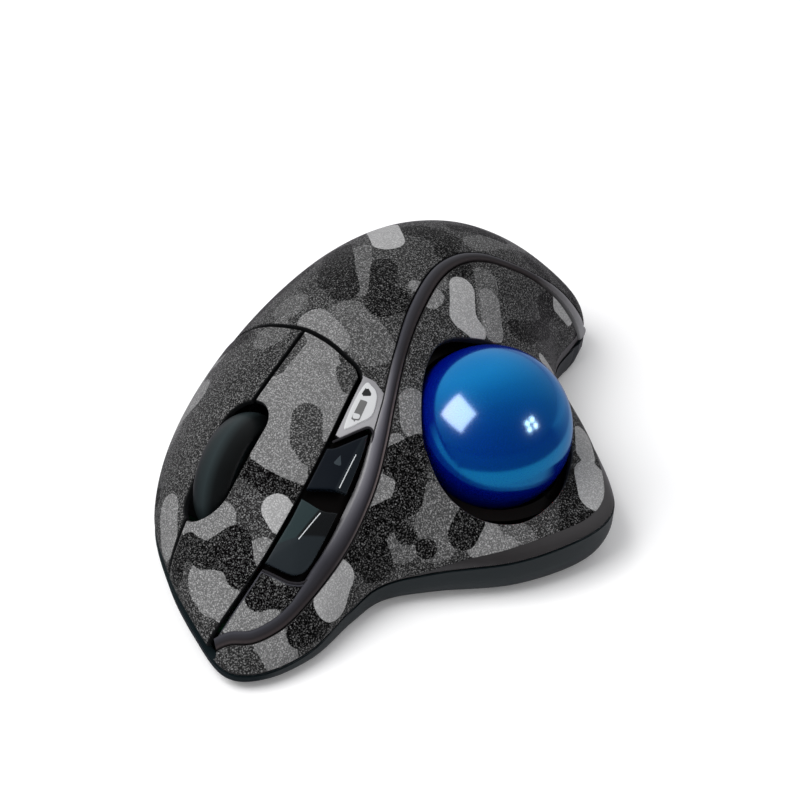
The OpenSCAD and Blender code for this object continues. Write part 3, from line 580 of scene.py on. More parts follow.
def filmFinish():
    # printed film in six greys under pale grain; the tones are mixed as printed and turned to light at the end
    finish, tree, shader = newFinish("camouflageFilm", Roughness=0.5, Specular_IOR_Level=0.03)
    height, tone = grainOf(tree, 3300.0, 70.0)
    flakes = placeGroup(tree, flakeGroup, Cells=2700.0, Share=0.55, Size=0.42).outputs["Mask"]
    colour = cloudy(tree, tone, grey(30), grey(38))
    for field, level in (("camoMid", 64), ("camoSoft", 94), ("camoDark", 44), ("camoBlack", 0), ("camoLight", 140)):
        colour = mixColours(tree, mapped(tree, fieldOf(tree, field), -0.06, 0.06, 0, 1), colour, grey(level))
    colour = mixColours(tree, mapped(tree, height, 0.48, 0.66, 0, 0.4), colour, grey(220))
    colour = mixColours(tree, mapped(tree, flakes, 0, 1, 0, 0.26), colour, grey(240))
    printed = addNode(tree, "ShaderNodeGamma", Gamma=2.2)
    feed(tree, printed, Color=colour)
    # painted reflection: to glossy rays the film shows pale in front of the ball and nearly black behind it
    feed(tree, shader, Base_Color=paintedReflectionColour(tree, printed.outputs["Color"]))
    bumped(tree, shader, height, 0.4, 0.00002)
    return finish


def boardFinish():
    # solder mask with paler copper runs under it and bare pads
    finish, tree, shader = newFinish("circuitBoard", Roughness=0.35)
    runs = addNode(tree, "ShaderNodeTexBrick", Scale=260.0, Mortar_Size=0.06)
    pads = placeGroup(tree, flakeGroup, Cells=420.0, Share=0.25, Size=0.28).outputs["Mask"]
    colour = mixColours(tree, runs.outputs["Fac"], tint(18, 74, 46), tint(34, 104, 66))
    feed(tree, runs, Vector=objectPlace(tree))
    feed(tree, shader, Base_Color=mixColours(tree, pads, colour, tint(200, 176, 110)),
         Metallic=mapped(tree, pads, 0, 1, 0, 0.9))
    return finish


def steelFinish():
    # drawn metal: streaks along one direction
    finish, tree, shader = newFinish("drawnSteel", Metallic=1.0)
    stretched = addNode(tree, "ShaderNodeMapping", Scale=(1.0, 0.08, 1.0))
    streaks = addNode(tree, "ShaderNodeTexNoise", Scale=700.0, Detail=4.0)
    shade = streaks.outputs["Fac"]
    colour = mixColours(tree, mapped(tree, shade, 0.35, 0.65, 0, 1), tint(150, 152, 155), tint(186, 188, 190))
    feed(tree, stretched, Vector=objectPlace(tree))
    feed(tree, streaks, Vector=stretched.outputs["Vector"])
    feed(tree, shader, Base_Color=colour, Roughness=toned(tree, shade, 0.2, 0.34))
    bumped(tree, shader, shade, 0.2, 0.00001)
    return finish


def cellFinish():
    # printed sleeve of the cell: dark body and a copper-coloured end, no wording
    finish, tree, shader = newFinish("cellSleeve", Metallic=0.6, Roughness=0.3)
    sleeve = cloudy(tree, grainOf(tree, 1800.0, 80.0)[1], tint(30, 32, 36), tint(40, 42, 46))
    low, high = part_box("battery")
    edge = low.y + (high.y - low.y) * 0.3
    body = mapped(tree, along(tree, (0, 1, 0)), edge - 0.0001, edge + 0.0001, 0, 1)
    feed(tree, shader, Base_Color=mixColours(tree, body, tint(176, 118, 74), sleeve))
    return finish


def lensFinish():
    # clear plastic with a faint bloom
    finish, tree, shader = newFinish("lensPlastic", Transmission_Weight=0.85, IOR=1.49)
    tone = grainOf(tree, 1500.0, 50.0)[1]
    feed(tree, shader, Base_Color=cloudy(tree, tone, tint(206, 214, 220), tint(222, 228, 232)),
         Roughness=toned(tree, tone, 0.08, 0.16))
    return finish


strip, ballPaint, film, board, steel = stripFinish(), ballFinish(), filmFinish(), boardFinish(), steelFinish()
nodeFinishes = (
    (plastics["case"], ("bottom_case", "battery_door", "wheel_hub")), (plastics["ceramic"], ("ball_bearings",)),
    (plastics["inner"], ("wheel_carrier",)), (plastics["knob"], ("power_knob",)), (plastics["foot"], ("feet",)),
    (plastics["plunger"], ("left_plunger", "right_plunger", "middle_plunger")),
    (plastics["chip"], ("optical_sensor", "wheel_encoder", "radio_chip", "left_switch", "right_switch", "middle_switch",
                        "back_switch", "forward_switch", "power_switch", "receiver")),
    (board, ("sensor_board", "main_board", "side_board")), (cellFinish(), ("battery",)), (lensFinish(), ("sensor_lens",)),
    (steel, ("wheel_axle", "battery_spring", "battery_contact", "case_screws", "board_screws")),
)
for finish, nodes in nodeFinishes:
    for name in nodes:
        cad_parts[name].material_slots[0].material = finish
print("finishes ready")


curves = {name: throughPoints(seamForm[name], 24) for name in ("strip", "left", "split", "rear")}
wellLine = throughPoints(seamForm["well"], 6)
halfGap = seamForm["gap"] / 2
rimLine = outline[::4, :2]
far = 95.0
stripForm = {
    # where along the mouse it narrows, widens, carries its painted highlight or turns pale, and the height of its ridge
    # and how that fades
    "taper": (20, 46), "flare": ((15, 23, 48, 55), (0, 1, 1, 0)), "paintedShine": ((4, 18, 30, 46), (0, 1, 1, 0)),
    "tailFrom": -44, "tailOver": 16, "nosePlace": -0.97, "rise": 0.6, "fadeFrom": 60, "fadeOver": 10, "least": 0.1,
}


def onSkin(points):
    return polar(points)[1] < 1


def flatRise(height):
    return lambda p: np.full(len(p), height)


def within(p, inside, outside=()):
    # which points lie in all of the first loops and in none of the second
    return np.all([inLoop(p, loop) for loop in inside] + [~inLoop(p, loop) for loop in outside], axis=0)


def loopOf(*parts):
    return np.vstack([np.reshape(p, (-1, 2)) for p in parts])


def stripHalf(points, side):
    # the strip narrows towards the tail, and widens to the edge of the well on the palm side
    half = np.interp(-points[:, 1], stripForm["taper"], seamForm["stripHalf"])
    flare = np.interp(points[:, 1], *stripForm["flare"]) * seamForm["stripFlare"]
    return half + np.where(side < 0, flare, 0)


def stripEdge(side, inset):
    # edge of the strip towards the palm (-1) or the thumb (1), moved away along the skin by the inset
    return fromFlat(beside(toFlat(curves["strip"]), side * (stripHalf(curves["strip"], side) + inset)))


def palmSide(inset):
    # everything to the palm side of the strip
    return loopOf(stripEdge(-1, inset), [(-20, -far), (far, -far), (far, far), (12, far)])


def wellLoop(inset):
    return growLoop(loopOf(wellLine, seamForm["wellLeft"]), inset)


def softened(loop, reach):
    # the loop with its corners rounded
    loop = resample(np.vstack([loop, loop[:1]]), 0.1)[:-1]
    steps = int(reach * 5)
    return sum(np.roll(loop, k, axis=0) for k in range(-steps, steps + 1)) / (2 * steps + 1)


def capLoop():
    # outline of both side buttons inside the well, close to the left button and clear of the other edges
    left = np.add(seamForm["wellLeft"], [(0.3, 0), (0.3, 0), (0.6, 0), (0.7, 0)])
    return softened(growLoop(loopOf(wellLine, left), -1.15), 2.4)


mouthForm = {
    "ball": (-18.2, -1.2, 22.8), "diameter": 34, "clear": 0.5, "cupTop": 4.2, "cupInner": 17.8, "cupOuter": 20.2,
    "cupHole": 5.6, "cupRows": 40, "window": ((0.975, -0.137, -0.174), 0.2),
    # edge of the opening, seen from above
    "edge": [(-5, -3.5), (-5.3, 1), (-6.5, 5.5), (-8.8, 10.5), (-11.5, 14.8), (-14, 17), (-18, 19.2), (-22, 19.6),
             (-26.4, 18.6), (-30.7, 16), (-34, 12), (-35.8, 6), (-36, 0.5), (-34.8, -5), (-32.4, -11), (-27.6, -16.6),
             (-21.5, -19.4), (-15, -18.6), (-11, -15.2), (-8.6, -11.8), (-6.3, -8)],
}
ballAt = np.array(mouthForm["ball"])
ballRadius = mouthForm["diameter"] / 2
mouthLoop = throughPoints(mouthForm["edge"], 12, True)


def clearOfBall(points, gap):
    # moves points that are too near the ball straight out from it
    out = points - ballAt
    reach = np.linalg.norm(out, axis=1)[:, None]
    return ballAt + out / reach * np.maximum(reach, ballRadius + gap)


# bare corner round the status plate, where the film stops
plateFree = loopOf([(3.4, 13.8), (0.4, 13.2), (-2.2, 14), (-3.8, 16.4), (-6.6, 18.6), (-9, 30), (6, 30)])


def palmPanel(inset, flat):
    side, hole, gap = palmSide(seamForm["seam"] + inset), wellLoop(0.1 + inset), halfGap + inset
    # the main buttons' zone: ahead of the rear seam and to the finger side of the left seam
    zone = loopOf(beside(curves["left"], -gap), [(far, far), (far, 0)], beside(curves["rear"], gap)[::-1])
    # the front end is a step
    step, low, high = -3.4, 22.4 - inset, 27 - inset
    end = loopOf([(-9, low), (step, low), (step, high), (4, high)])

    def keep(p):
        ahead = (p[:, 1] >= high) | ((p[:, 0] < step) & (p[:, 1] > low))
        return onSkin(p) & within(p, (side,), (zone, hole)) & ~ahead & ~(flat & inLoop(p, plateFree))

    lines = [(rimLine, True), (side[:len(curves["strip"])], False), (zone, True), (hole, True), (end, False)]
    return lines + ([(plateFree, True)] if flat else []), keep


def thumbPanel(inset, band=None):
    side = loopOf(stripEdge(1, seamForm["seam"] + inset), [(-20, -far), (-far, -far), (-far, far), (9, far)])
    hole, edge = growLoop(mouthLoop, inset), rimLine if band is None else raisedRim(band)
    return ([(edge, True), (side[:len(curves["strip"])], False), (hole, True)],
            lambda p: within(p, (edge, side), (hole,)))


def raisedRim(band):
    # the rim line moved up the skin by band(turn) millimetres
    turn = polar(rimLine)[0]
    length = lengthAt(turn, np.ones(len(turn))) - band(turn)
    return fromFlat(np.c_[length * np.cos(turn), length * np.sin(turn)])


def buttonPanel(which, inset, band=None):
    left, split = beside(curves["left"], halfGap + inset), curves["split"]
    behind = loopOf(beside(curves["rear"], -halfGap - inset), [(far, -far), (-far, -far), (-far, 14.4)])
    if which == "left":
        side = loopOf([(3.4, 0)], left, [(9.5, far), (26, far)], beside(split, -halfGap - inset)[::-1], [(18.4, 0)])
    else:
        side = loopOf([(19.2, 0)], beside(split, halfGap + inset), [(26, far), (far, far), (far, 0)])
    slot, edge = wheelSlot(inset), rimLine if band is None else raisedRim(band)
    return ([(edge, True), (side, True), (behind[:len(curves["rear"])], False), (slot, True)],
            lambda p: within(p, (edge, side), (behind, slot)))


wheelForm = {"at": (19.8, 34.3, 20.6), "diameter": 26, "width": 8, "bore": 10.5, "lip": 10.7, "crown": 0.62, "segments": 160,
             "slotFront": 49.6, "slotRear": 27.4, "slotHalf": 4.9, "slotTurn": 0.06}


def wheelSlot(inset):
    # a long hole with round ends, turned a little
    half = wheelForm["slotHalf"] + inset
    turn = np.linspace(0, math.pi, 25)
    front, rear = wheelForm["slotFront"] + inset - half, wheelForm["slotRear"] - inset + half
    arc = half * np.c_[np.cos(turn), np.sin(turn)]
    loop = loopOf(arc + [0, front], -arc + [0, rear])
    slant = (loop[:, 1] - wheelForm["at"][1]) * wheelForm["slotTurn"]
    return loop + [wheelForm["at"][0], 0] + np.c_[slant, np.zeros(len(loop))]


def nosePanel(inset):
    side, hole, low = palmSide(inset - 0.3), wellLoop(0.1 + inset), seamForm["noseLine"] + inset
    leftEdge = loopOf(beside(curves["left"], -halfGap - inset), [(-far, far), (-far, 15)])
    lines = [(rimLine, True), (side[:len(curves["strip"])], False), (leftEdge[:len(curves["left"])], False), (hole, True),
             (loopOf([(-20, low), (8, low)]), False)]
    return lines, lambda p: onSkin(p) & within(p, (side, leftEdge), (hole,)) & (p[:, 1] > low)


def stripPanel():
    band = loopOf(stripEdge(1, 0), stripEdge(-1, 0)[::-1])
    return [(rimLine, True), (band, True)], lambda p: onSkin(p) & inLoop(p, band)


stripFlat = resample(toFlat(curves["strip"]), 0.1)
stripTree = treeOf(stripFlat)


def stripAcross(p):
    # -1 at the palm edge of the strip, 0 along its ridge, 1 at the thumb edge
    flat = toFlat(p)
    near = [stripTree.find((*q, 0)) for q in flat]
    place = np.array([n[1] for n in near])
    run = np.gradient(stripFlat, axis=0)[place]
    away = flat - stripFlat[place]
    side = np.sign(run[:, 1] * away[:, 0] - run[:, 0] * away[:, 1])
    return np.clip(side * np.array([n[2] for n in near]) / stripHalf(p, side), -1, 1)


def stripRidge(p):
    # half-round ridge that dies out at the nose
    strength = np.clip((stripForm["fadeFrom"] - p[:, 1]) / stripForm["fadeOver"], stripForm["least"], 1)
    return stripForm["rise"] * np.sqrt(np.maximum(1 - stripAcross(p) ** 2, 0)) * strength


def surroundPanel():
    # bare corner of the palm shell round the status plate
    lines, keep = palmPanel(0.1, False)
    return lines + [(plateFree, True)], lambda p: keep(p) & inLoop(p, plateFree)


lift, wall = skinForm["rimGap"], skinForm["wall"]
meshPiece("palmShell", [sheetOf(*palmPanel(0, False), wall=wall)], plastics["inShell"], "base", ["palm_shell"])
lobe = sheetOf(*thumbPanel(0), wall=wall)
lobe["points"] = clearOfBall(lobe["points"], mouthForm["clear"])
meshPiece("thumbShell", [lobe], plastics["shell"], "base", ["thumb_shell"])
for which in ("left", "right"):
    button = sheetOf(*buttonPanel(which, 0), wall=skinForm["buttonWall"], lift=lift)
    meshPiece(which + "Button", [button], plastics["inShell"], which + "_button", [which + "_button"])
trimSheets = [sheetOf(*stripPanel(), spacing=0.5, rounding=0.12, rise=stripRidge), sheetOf(*nosePanel(0)),
              sheetOf(*surroundPanel(), spacing=0.6, rounding=0.1, wall=0.3, rise=flatRise(0.1))]
trim = meshPiece("trimFrame", trimSheets, strip, "base", ["trim_frame"])
trimSkin = np.vstack([sheet["skin"] for sheet in trimSheets])[:, :2]
across = stripAcross(trimSkin)
# the nose panel and the corner round the plate take the colour of the strip's palm edge, painted highlight included
# where the painted shine runs
across[len(trimSheets[0]["skin"]):] = stripForm["nosePlace"]
paintedShine = np.interp(trimSkin[:, 1], *stripForm["paintedShine"])
tail = np.clip((stripForm["tailFrom"] - trimSkin[:, 1]) / stripForm["tailOver"], 0, 1)
for label, values in (("across", across), ("paintedShine", paintedShine), ("tail", tail)):
    trim.data.attributes.new(label, "FLOAT", "POINT").data.foreach_set("value", values)


def skinNormal(p, step=0.05):
    slopes = [(skinHeight(p + d) - skinHeight(p - d)) / (2 * step) for d in np.eye(2) * step]
    return unit(np.c_[-slopes[0], -slopes[1], np.ones(len(p))])


def beadNodes():
    # sweeps a round bead along a path
    group = bpy.data.node_groups.new("beadAlongPath", "GeometryNodeTree")
    inputs = {label: group.interface.new_socket(label, in_out="INPUT", socket_type="NodeSocket" + kind)
              for label, kind in (("Geometry", "Geometry"), ("Radius", "Float"), ("Sides", "Int"), ("Finish", "Material"))}
    group.interface.new_socket("Geometry", in_out="OUTPUT", socket_type="NodeSocketGeometry")
    given, out = group.nodes.new("NodeGroupInput"), group.nodes.new("NodeGroupOutput")
    path, sweep, ring, real, paint, smooth = (group.nodes.new("GeometryNode" + kind) for kind in (
        "MeshToCurve", "CurveToMesh", "CurvePrimitiveCircle", "RealizeInstances", "SetMaterial", "SetShadeSmooth"))
    sweep.inputs["Fill Caps"].default_value = True
    feed(group, path, Mesh=given.outputs["Geometry"])
    feed(group, ring, Radius=given.outputs["Radius"], Resolution=given.outputs["Sides"])
    feed(group, sweep, Curve=path.outputs["Curve"], Profile_Curve=ring.outputs["Curve"])
    feed(group, smooth, Geometry=sweep.outputs["Mesh"])
    feed(group, real, Geometry=smooth.outputs["Geometry"])
    feed(group, paint, Geometry=real.outputs["Geometry"], Material=given.outputs["Finish"])
    feed(group, out, Geometry=paint.outputs["Geometry"])
    return group, inputs


def beadPiece(name, path, radius, finish, body, rise=0.0):
    group, inputs = beadTree
    points = (np.c_[path, skinHeight(path)] + skinNormal(path) * np.reshape(rise, (-1, 1))) * mm
    mesh = bpy.data.meshes.new(name + "Path")
    mesh.from_pydata(points.tolist(), [(i, i + 1) for i in range(len(points) - 1)], [])
    guide = bpy.data.objects.new(name + "Path", mesh)
    bpy.context.scene.collection.objects.link(guide)
    swept = guide.modifiers.new("bead", "NODES")
    swept.node_group = group
    for label, value in (("Radius", radius * mm), ("Sides", 16), ("Finish", finish)):
        swept[inputs[label].identifier] = value
    view = bpy.context.evaluated_depsgraph_get()
    solid = bpy.data.meshes.new_from_object(guide.evaluated_get(view))
    guide.modifiers.remove(swept)
    bpy.data.objects.remove(guide)
    solid.name = name
    addPiece(name, solid, body)


beadTree = beadNodes()
beadPiece("rearBead", wellLine[wellLine[:, 1] < 29][1:34], seamForm["bead"], strip, "base")
beadPiece("frontBead", wellLine[wellLine[:, 1] > 48.8], seamForm["bead"], strip, "base")
print("shells ready")


filmForm = {
    "proud": 0.12, "inset": 0.15, "noseInset": 0.35, "spacing": 0.9, "leftBand": 0.6, "rightBand": 1.2,
    # bare band above the thumb shell's rim: directions in degrees and widths there
    "thumbTurns": (90, 118, 128, 135, 141, 155, 165, 175, 190, 225),
    "thumbBands": (0.5, 0.4, 0.5, 1.4, 2.2, 3.2, 3.5, 3.2, 3.0, 2.4),
}


def thumbBand(turn):
    return np.interp(np.degrees(turn) % 360, filmForm["thumbTurns"], filmForm["thumbBands"])


def filmSheet(panel, lifted=0.0):
    return sheetOf(*panel, spacing=filmForm["spacing"], rounding=0.1, wall=0.05, lift=lifted,
                   rise=flatRise(filmForm["proud"]))


camoForm = {
    # tone layers in the order they are laid; a blot is (across, along, radius) or a run between two points
    "camoMid": [(26, 3, 3.5), (26, 12, 25, 11, 3), (21, -17, 14, -5, 2), (41, 22, 39, 28, 3.5), (-2, 54, -4, 53, 2),
                (-15, 32, -16, 32, 2.5), (-19, 22, -21, 27, 4), (-34, 16, -33, 18, 2.5), (4, -36, 2, -53, 2),
                (-3, -28, -8, -20, 2.5), (2, -17, 1.5), (12, 4, 5, 7, 4.5)],
    "camoSoft": [(18, 7, 12, 10, 3), (14, 16, 9, 19, 4.5), (14, 26, 8, 23, 6), (15, 31, 9, 33, 4),
                 (13, 33, 8, 37, 4.5), (5, 38, 2), (4, 28, 1.5), (18, 50, 15, 49, 3), (21, 50, 2), (29, 46, 26, 51, 3),
                 (13, 58, 12, 59, 3.5), (9, 61, 6, 61, 3), (5, 59, 4, 59, 2), (3, 63, -1, 61, 2.5), (-3, 58, 1.5),
                 (5, 52, 4, 51, 2), (-4, 62, -7, 63, 3), (-10, 26, -10, 30, 2), (-10, 32, -9, 35, 1.5),
                 (-7, 11, -9, 14, 2.5), (-8, 20, 1.5), (-29, 19, -28, 23, 1.5), (-30, 22, -33, 19, 1.5),
                 (1, -11, 1, -13, 1.5), (-6, -24, -10, -18, 2.2), (5, -12, 1)],
    "camoDark": [(18, 13, 19, 20, 1), (6, 15, 4, 17, 1.5), (8, 27, 6, 31, 2.5), (7, 29, 4, 33, 1.5)],
    "camoBlack": [(27, -18, 17, -3, 2.8), (24, -12, 21, -6, 3), (32, -12, 36, -1, 2.5), (36, -1, 37, 8, 2.5),
                  (38, 10, 33, 10, 1.5), (13, -13, 8, -3, 2.2), (8, -3, 6, -6, 2.6), (42, 17, 1.5),
                  (15, -30, 8, -31, 2.8), (8, -31, 5.5, -26, 2), (10, -39, 4, -48, 1.6), (-3, -49, -6, -50, 1.6),
                  (1, -23, 1, -26, 1.5), (-12, -25, -13, -28, 2), (-10, -42, -10, -47, 2.5), (-13, -30, -12, -40, 1.6),
                  (-11.5, -57, 1.2), (-6, -56, -9, -60, 1.5), (14, 40, 9, 41, 1.5), (8, 41, 3, 40, 1.5),
                  (36, 40, 35, 41, 1.5), (20, 53, 15, 55, 2), (12, 54, 10, 52, 3), (8, 54, 6, 56, 2.5),
                  (21, 55, 20, 57, 1.5), (2, 56, 1, 58, 2), (-2, 56, -4, 54, 1.5), (-7, 55, -9, 54, 3.5), (-8, 58, 2),
                  (-7, 52, 1.5), (-10, 39, -12, 37, 3), (-11, 33, -10, 38, 2.5), (-9, 23, -12, 17, 2.5),
                  (-13, 22, -14, 26, 2.5), (-10, 37, -13, 37, 3), (-10, 34, -12, 30, 2), (-16, 30, 1.5),
                  (-20, 29, 1.5), (-25, 20, -25, 23, 2.5), (-36, -3, -42, 9, 2), (-43, 6, -45, 2, 2)],
    "camoLight": [(5, 44, 3, 45, 2.5), (-9, 46, -10, 49, 3.5), (-10, 44, 1.5), (-39, -7, -42, -3, 3.5),
                  (23, -30, 17, -22, 2.9), (-1.6, -20, -5, -14, 2.5), (-5, -14, -8, -14, 2), (-10, -49, -11, -54, 1.7),
                  (-17.5, -27, -19, -27.5, 1.1), (-32, -17, -35, -12, 1.8)],
    "blend": 0.6, "grow": 0.6, "seed": 7, "spare": 90, "shares": (0.22, 0.3, 0.06, 0.3, 0.12),
}
camoLayers = ("camoMid", "camoSoft", "camoDark", "camoBlack", "camoLight")


def spareBlots():
    # seeded blots for the sides that face away from the picture
    pick = np.random.default_rng(camoForm["seed"])
    blots = {name: [] for name in camoLayers}
    while sum(len(b) for b in blots.values()) < camoForm["spare"]:
        turn, share = pick.uniform(0, 2 * math.pi), math.sqrt(pick.uniform(0.1, 0.99))
        at = middle + share * atTurn(np.array([turn]))[0] * np.array((math.cos(turn), math.sin(turn)))
        h = skinHeight(at + [(0.2, 0), (-0.2, 0), (0, 0.2), (0, -0.2)])
        if np.dot((-(h[0] - h[1]) / 0.4, -(h[2] - h[3]) / 0.4, 1), toPicture) > -0.1:
            continue
        away = pick.uniform(0, 2 * math.pi)
        end = at + pick.uniform(2, 7) * np.array((math.cos(away), math.sin(away)))
        name = camoLayers[pick.choice(len(camoLayers), p=camoForm["shares"])]
        blots[name].append((*at, *end, pick.uniform(2, 4)))
    return blots


spare = spareBlots()


def camoField(skin, name):
    # how far inside the blots of one tone each point is, in millimetres
    total = np.zeros(len(skin))
    for blot in camoForm[name] + spare[name]:
        ends = np.array(blot[:-1], float).reshape(-1, 2)
        ends = np.c_[ends, skinHeight(ends)]
        start, run = ends[0], ends[-1] - ends[0]
        t = np.clip((skin - start) @ run / max(run @ run, 1e-9), 0, 1)
        inside = blot[-1] + camoForm["grow"] - np.linalg.norm(skin - start - t[:, None] * run, axis=1)
        total += np.exp(np.clip(inside / camoForm["blend"], -60, 60))
    return camoForm["blend"] * np.log(total + 1e-26)


def filmPiece(name, sheet, body):
    piece = meshPiece(name, [sheet], film, body)
    for field in camoLayers:
        values = piece.data.attributes.new(field, "FLOAT", "POINT")
        values.data.foreach_set("value", camoField(sheet["skin"], field))


inset = filmForm["inset"]
filmPiece("palmFilm", filmSheet(palmPanel(inset, True)), "base")
filmPiece("thumbFilm", filmSheet(thumbPanel(inset, thumbBand)), "base")
filmPiece("noseFilm", filmSheet(nosePanel(filmForm["noseInset"])), "base")
for which in ("left", "right"):
    band = flatRise(filmForm[which + "Band"])
    filmPiece(which + "Film", filmSheet(buttonPanel(which, inset, band), lift), which + "_button")
print("films ready")

capForm = {"rear": 1.3, "front": 1.0, "crease": 0.06, "line": 0.1, "wall": 1.1, "rearRidge": ((-3.3, 35), (-3.1, 26.8)),
           "frontRidge": ((-0.9, 46.6), (-2.4, 39.9)), "brow": ((2.2, 49.6), (-0.9, 46.6)), "floor": 3.2,
           "rearSlopes": (-0.14, 0.5), "rearClimb": -0.06, "frontSlopes": (-0.14, 0.26, 0.16),
           "rearLine": ((-3.25, 34.6), (-3.12, 27.6)), "frontLine": ((-1, 46.2), (-2.35, 40.2))}
rearEdge, frontEdge = throughPoints(seamForm["rearCap"], 16), throughPoints(seamForm["frontCap"], 16)
capOutline = capLoop()


def facet(p, start, end, slope, height, climb=0.0):
    # a plane through the line from start to end that falls to the right of it; climb is its rise along the line
    run = np.subtract(end, start)
    run = run / np.linalg.norm(run)
    away = p - start
    return height - slope * (away[:, 0] * run[1] - away[:, 1] * run[0]) + climb * (away @ run)


def lowest(*planes):
    # the lowest of several planes, with a small radius along each crease
    k = capForm["crease"]
    return np.maximum(-k * np.log(sum(np.exp(-h / k) for h in planes)), 0.05)


def rearCapRise(p):
    # a top that climbs to the front and falls away on both sides of one ridge
    ridge, top = capForm["rearRidge"], capForm["rear"]
    return lowest(*(facet(p, *ridge, slope, top, capForm["rearClimb"]) for slope in capForm["rearSlopes"]))


def frontCapRise(p):
    # three facets that meet ahead of the middle
    lines, top = (capForm["frontRidge"], capForm["frontRidge"], capForm["brow"]), capForm["front"]
    return lowest(*(facet(p, *line, slope, top) for line, slope in zip(lines, capForm["frontSlopes"])))


def capPanel(rear):
    edge = rearEdge if rear else frontEdge
    zone = loopOf(edge, [(far, -far), (-far, -far)] if rear else [(far, far), (-far, far)])
    return [(capOutline, True), (edge, False)], lambda p: inLoop(p, capOutline) & inLoop(p, zone)


def paintedHighlightLine(name, ridge, rise, body):
    # painted highlight: a fine near-white bead where two facets meet, standing for the light caught by the crease
    path = np.linspace(*ridge, 24)
    beadPiece(name, path, capForm["line"], plastics["edge"], body, rise(path) + 0.4 * capForm["line"])


def sideOf(tree, line):
    # 0 to the right of a line on the plan and 1 to the left of it
    start, end = np.array(line)
    across = np.array((start[1] - end[1], end[0] - start[0])) / np.linalg.norm(end - start)
    edge = start @ across
    return mapped(tree, along(tree, (*across, 0)), (edge - 0.15) * mm, (edge + 0.15) * mm, 0, 1)


def capPaintedShadeFinish(name, level, plain, *facets):
    # glossy plastic with painted shade: the facet to the right of each line is painted its own tone, standing for the
    # light it takes from the room
    def colourOf(tree, tone):
        colour = tint(*plain)
        for line, shade in facets:
            colour = mixColours(tree, sideOf(tree, line[::-1]), colour, tint(*shade))
        return cloudy(tree, tone, colour, tint(60, 66, 70), 0.06)

    return mouldedFinish(name, 0.14, level, colourOf)


def capPiece(name, finish, rear, rise):
    sheet = sheetOf(*capPanel(rear), spacing=0.3, rounding=0.3, wall=capForm["wall"], rise=rise)
    meshPiece(name + "Cap", [sheet], finish, name + "_button", [name + "_button"], 60)


# painted shade: each facet of the side-button caps gets its own lit or shaded tone
capPiece("forward", capPaintedShadeFinish("forwardPlastic", 0.16, (3, 9, 18), (capForm["rearRidge"], (22, 28, 33))), True, rearCapRise)
capPiece("back", capPaintedShadeFinish("backPlastic", 0.3, (32, 46, 48), (capForm["frontRidge"], (10, 12, 14)),
                           (capForm["brow"], (30, 36, 40))), False, frontCapRise)
paintedHighlightLine("forwardPaintedHighlight", capForm["rearLine"], rearCapRise, "forward_button")
paintedHighlightLine("backPaintedHighlight", capForm["frontLine"], frontCapRise, "back_button")
# painted shade: a near-black floor sheet in the well under the side buttons, so the gaps round the caps read dark
floorLoop = wellLoop(0.6)
paintedShadeFloor = sheetOf([(floorLoop, True)], lambda p: onSkin(p) & inLoop(p, floorLoop), spacing=1.2, rounding=0.1,
                    wall=capForm["floor"] + 0.5, rise=flatRise(-capForm["floor"]))
meshPiece("paintedShadeFloor", [paintedShadeFloor], plastics["well"], "base")
print("side buttons ready")

symbolForm = {
    "triangle": [(1.2, 15.2), (-0.6, 16.1), (1.3, 17.8)],
    "cell": [(0.9, 18.3), (-0.4, 17.7), (-0.8, 21.9), (0.6, 22.8)],
    "charge": [(0.7, 21.4), (-0.5, 20.7), (-0.6, 21.7), (0.5, 22.5)],
    "stud": [(0.2, 22.5), (-0.3, 22.2), (-0.4, 22.6), (0.1, 22.9)],
    "arrow": [(-0.9, 29.6), (-1.9, 31.2), (-0.4, 31.8)],
    "plateRise": 0.35, "step": 0.04,
}


def decal(loop, rise, corner=0.15):
    # a thin raised mark with softened corners
    loop = growLoop(resample(np.array(loop, float), 0.05, True), -corner)
    rounded = growLoop(loop, corner)
    return sheetOf([(rounded, True)], lambda p: inLoop(p, rounded), spacing=0.25, rounding=0.02,
                   wall=-rise(np.zeros((1, 2)))[0] + 0.1, rise=rise)


def plateMark(name, signs, finish, steps=1, corner=0.15):
    rise = flatRise(plateRise + steps * symbolForm["step"])
    meshPiece(name, [decal(symbolForm[sign], rise, corner) for sign in signs], plastics[finish], "base")


plateLoop = throughPoints(seamForm["plate"], 10, True)
plateRise = symbolForm["plateRise"]
plate = sheetOf([(plateLoop, True)], lambda p: inLoop(p, plateLoop), spacing=0.5, rounding=0.3, wall=1.2,
                rise=flatRise(plateRise))
meshPiece("statusPlate", [plate], plastics["plate"], "base", ["status_window"])
plateMark("arrowSign", ("triangle",), "ink", corner=0.3)
plateMark("cellSign", ("cell", "stud"), "greyInk")
plateMark("chargeMark", ("charge",), "plate", 2)
arrow = decal(symbolForm["arrow"], lambda p: rearCapRise(p) + 0.02)
meshPiece("arrowMark", [arrow], plastics["arrow"], "forward_button")

ballForm = {"segments": 160, "rows": 80}
turnShare = np.linspace(0, math.pi, ballForm["rows"] + 1)[1:-1]
rings = ballRadius * np.c_[np.sin(turnShare), np.cos(turnShare)]
rings = np.repeat(rings[:, None], ballForm["segments"], axis=1)
globe = turned(rings[::-1], (0, 0, 1), ballAt, False)
count, last = ballForm["segments"], len(globe["points"])
globe["points"] = np.vstack([globe["points"], ballAt - (0, 0, ballRadius), ballAt + (0, 0, ballRadius)])
top = last - count
globe["faces"] += [(last, (i + 1) % count, i) for i in range(count)]
globe["faces"] += [(last + 1, top + i, top + (i + 1) % count) for i in range(count)]
ballPiece = meshPiece("ballShell", [globe], ballPaint, "ball", ["ball"])


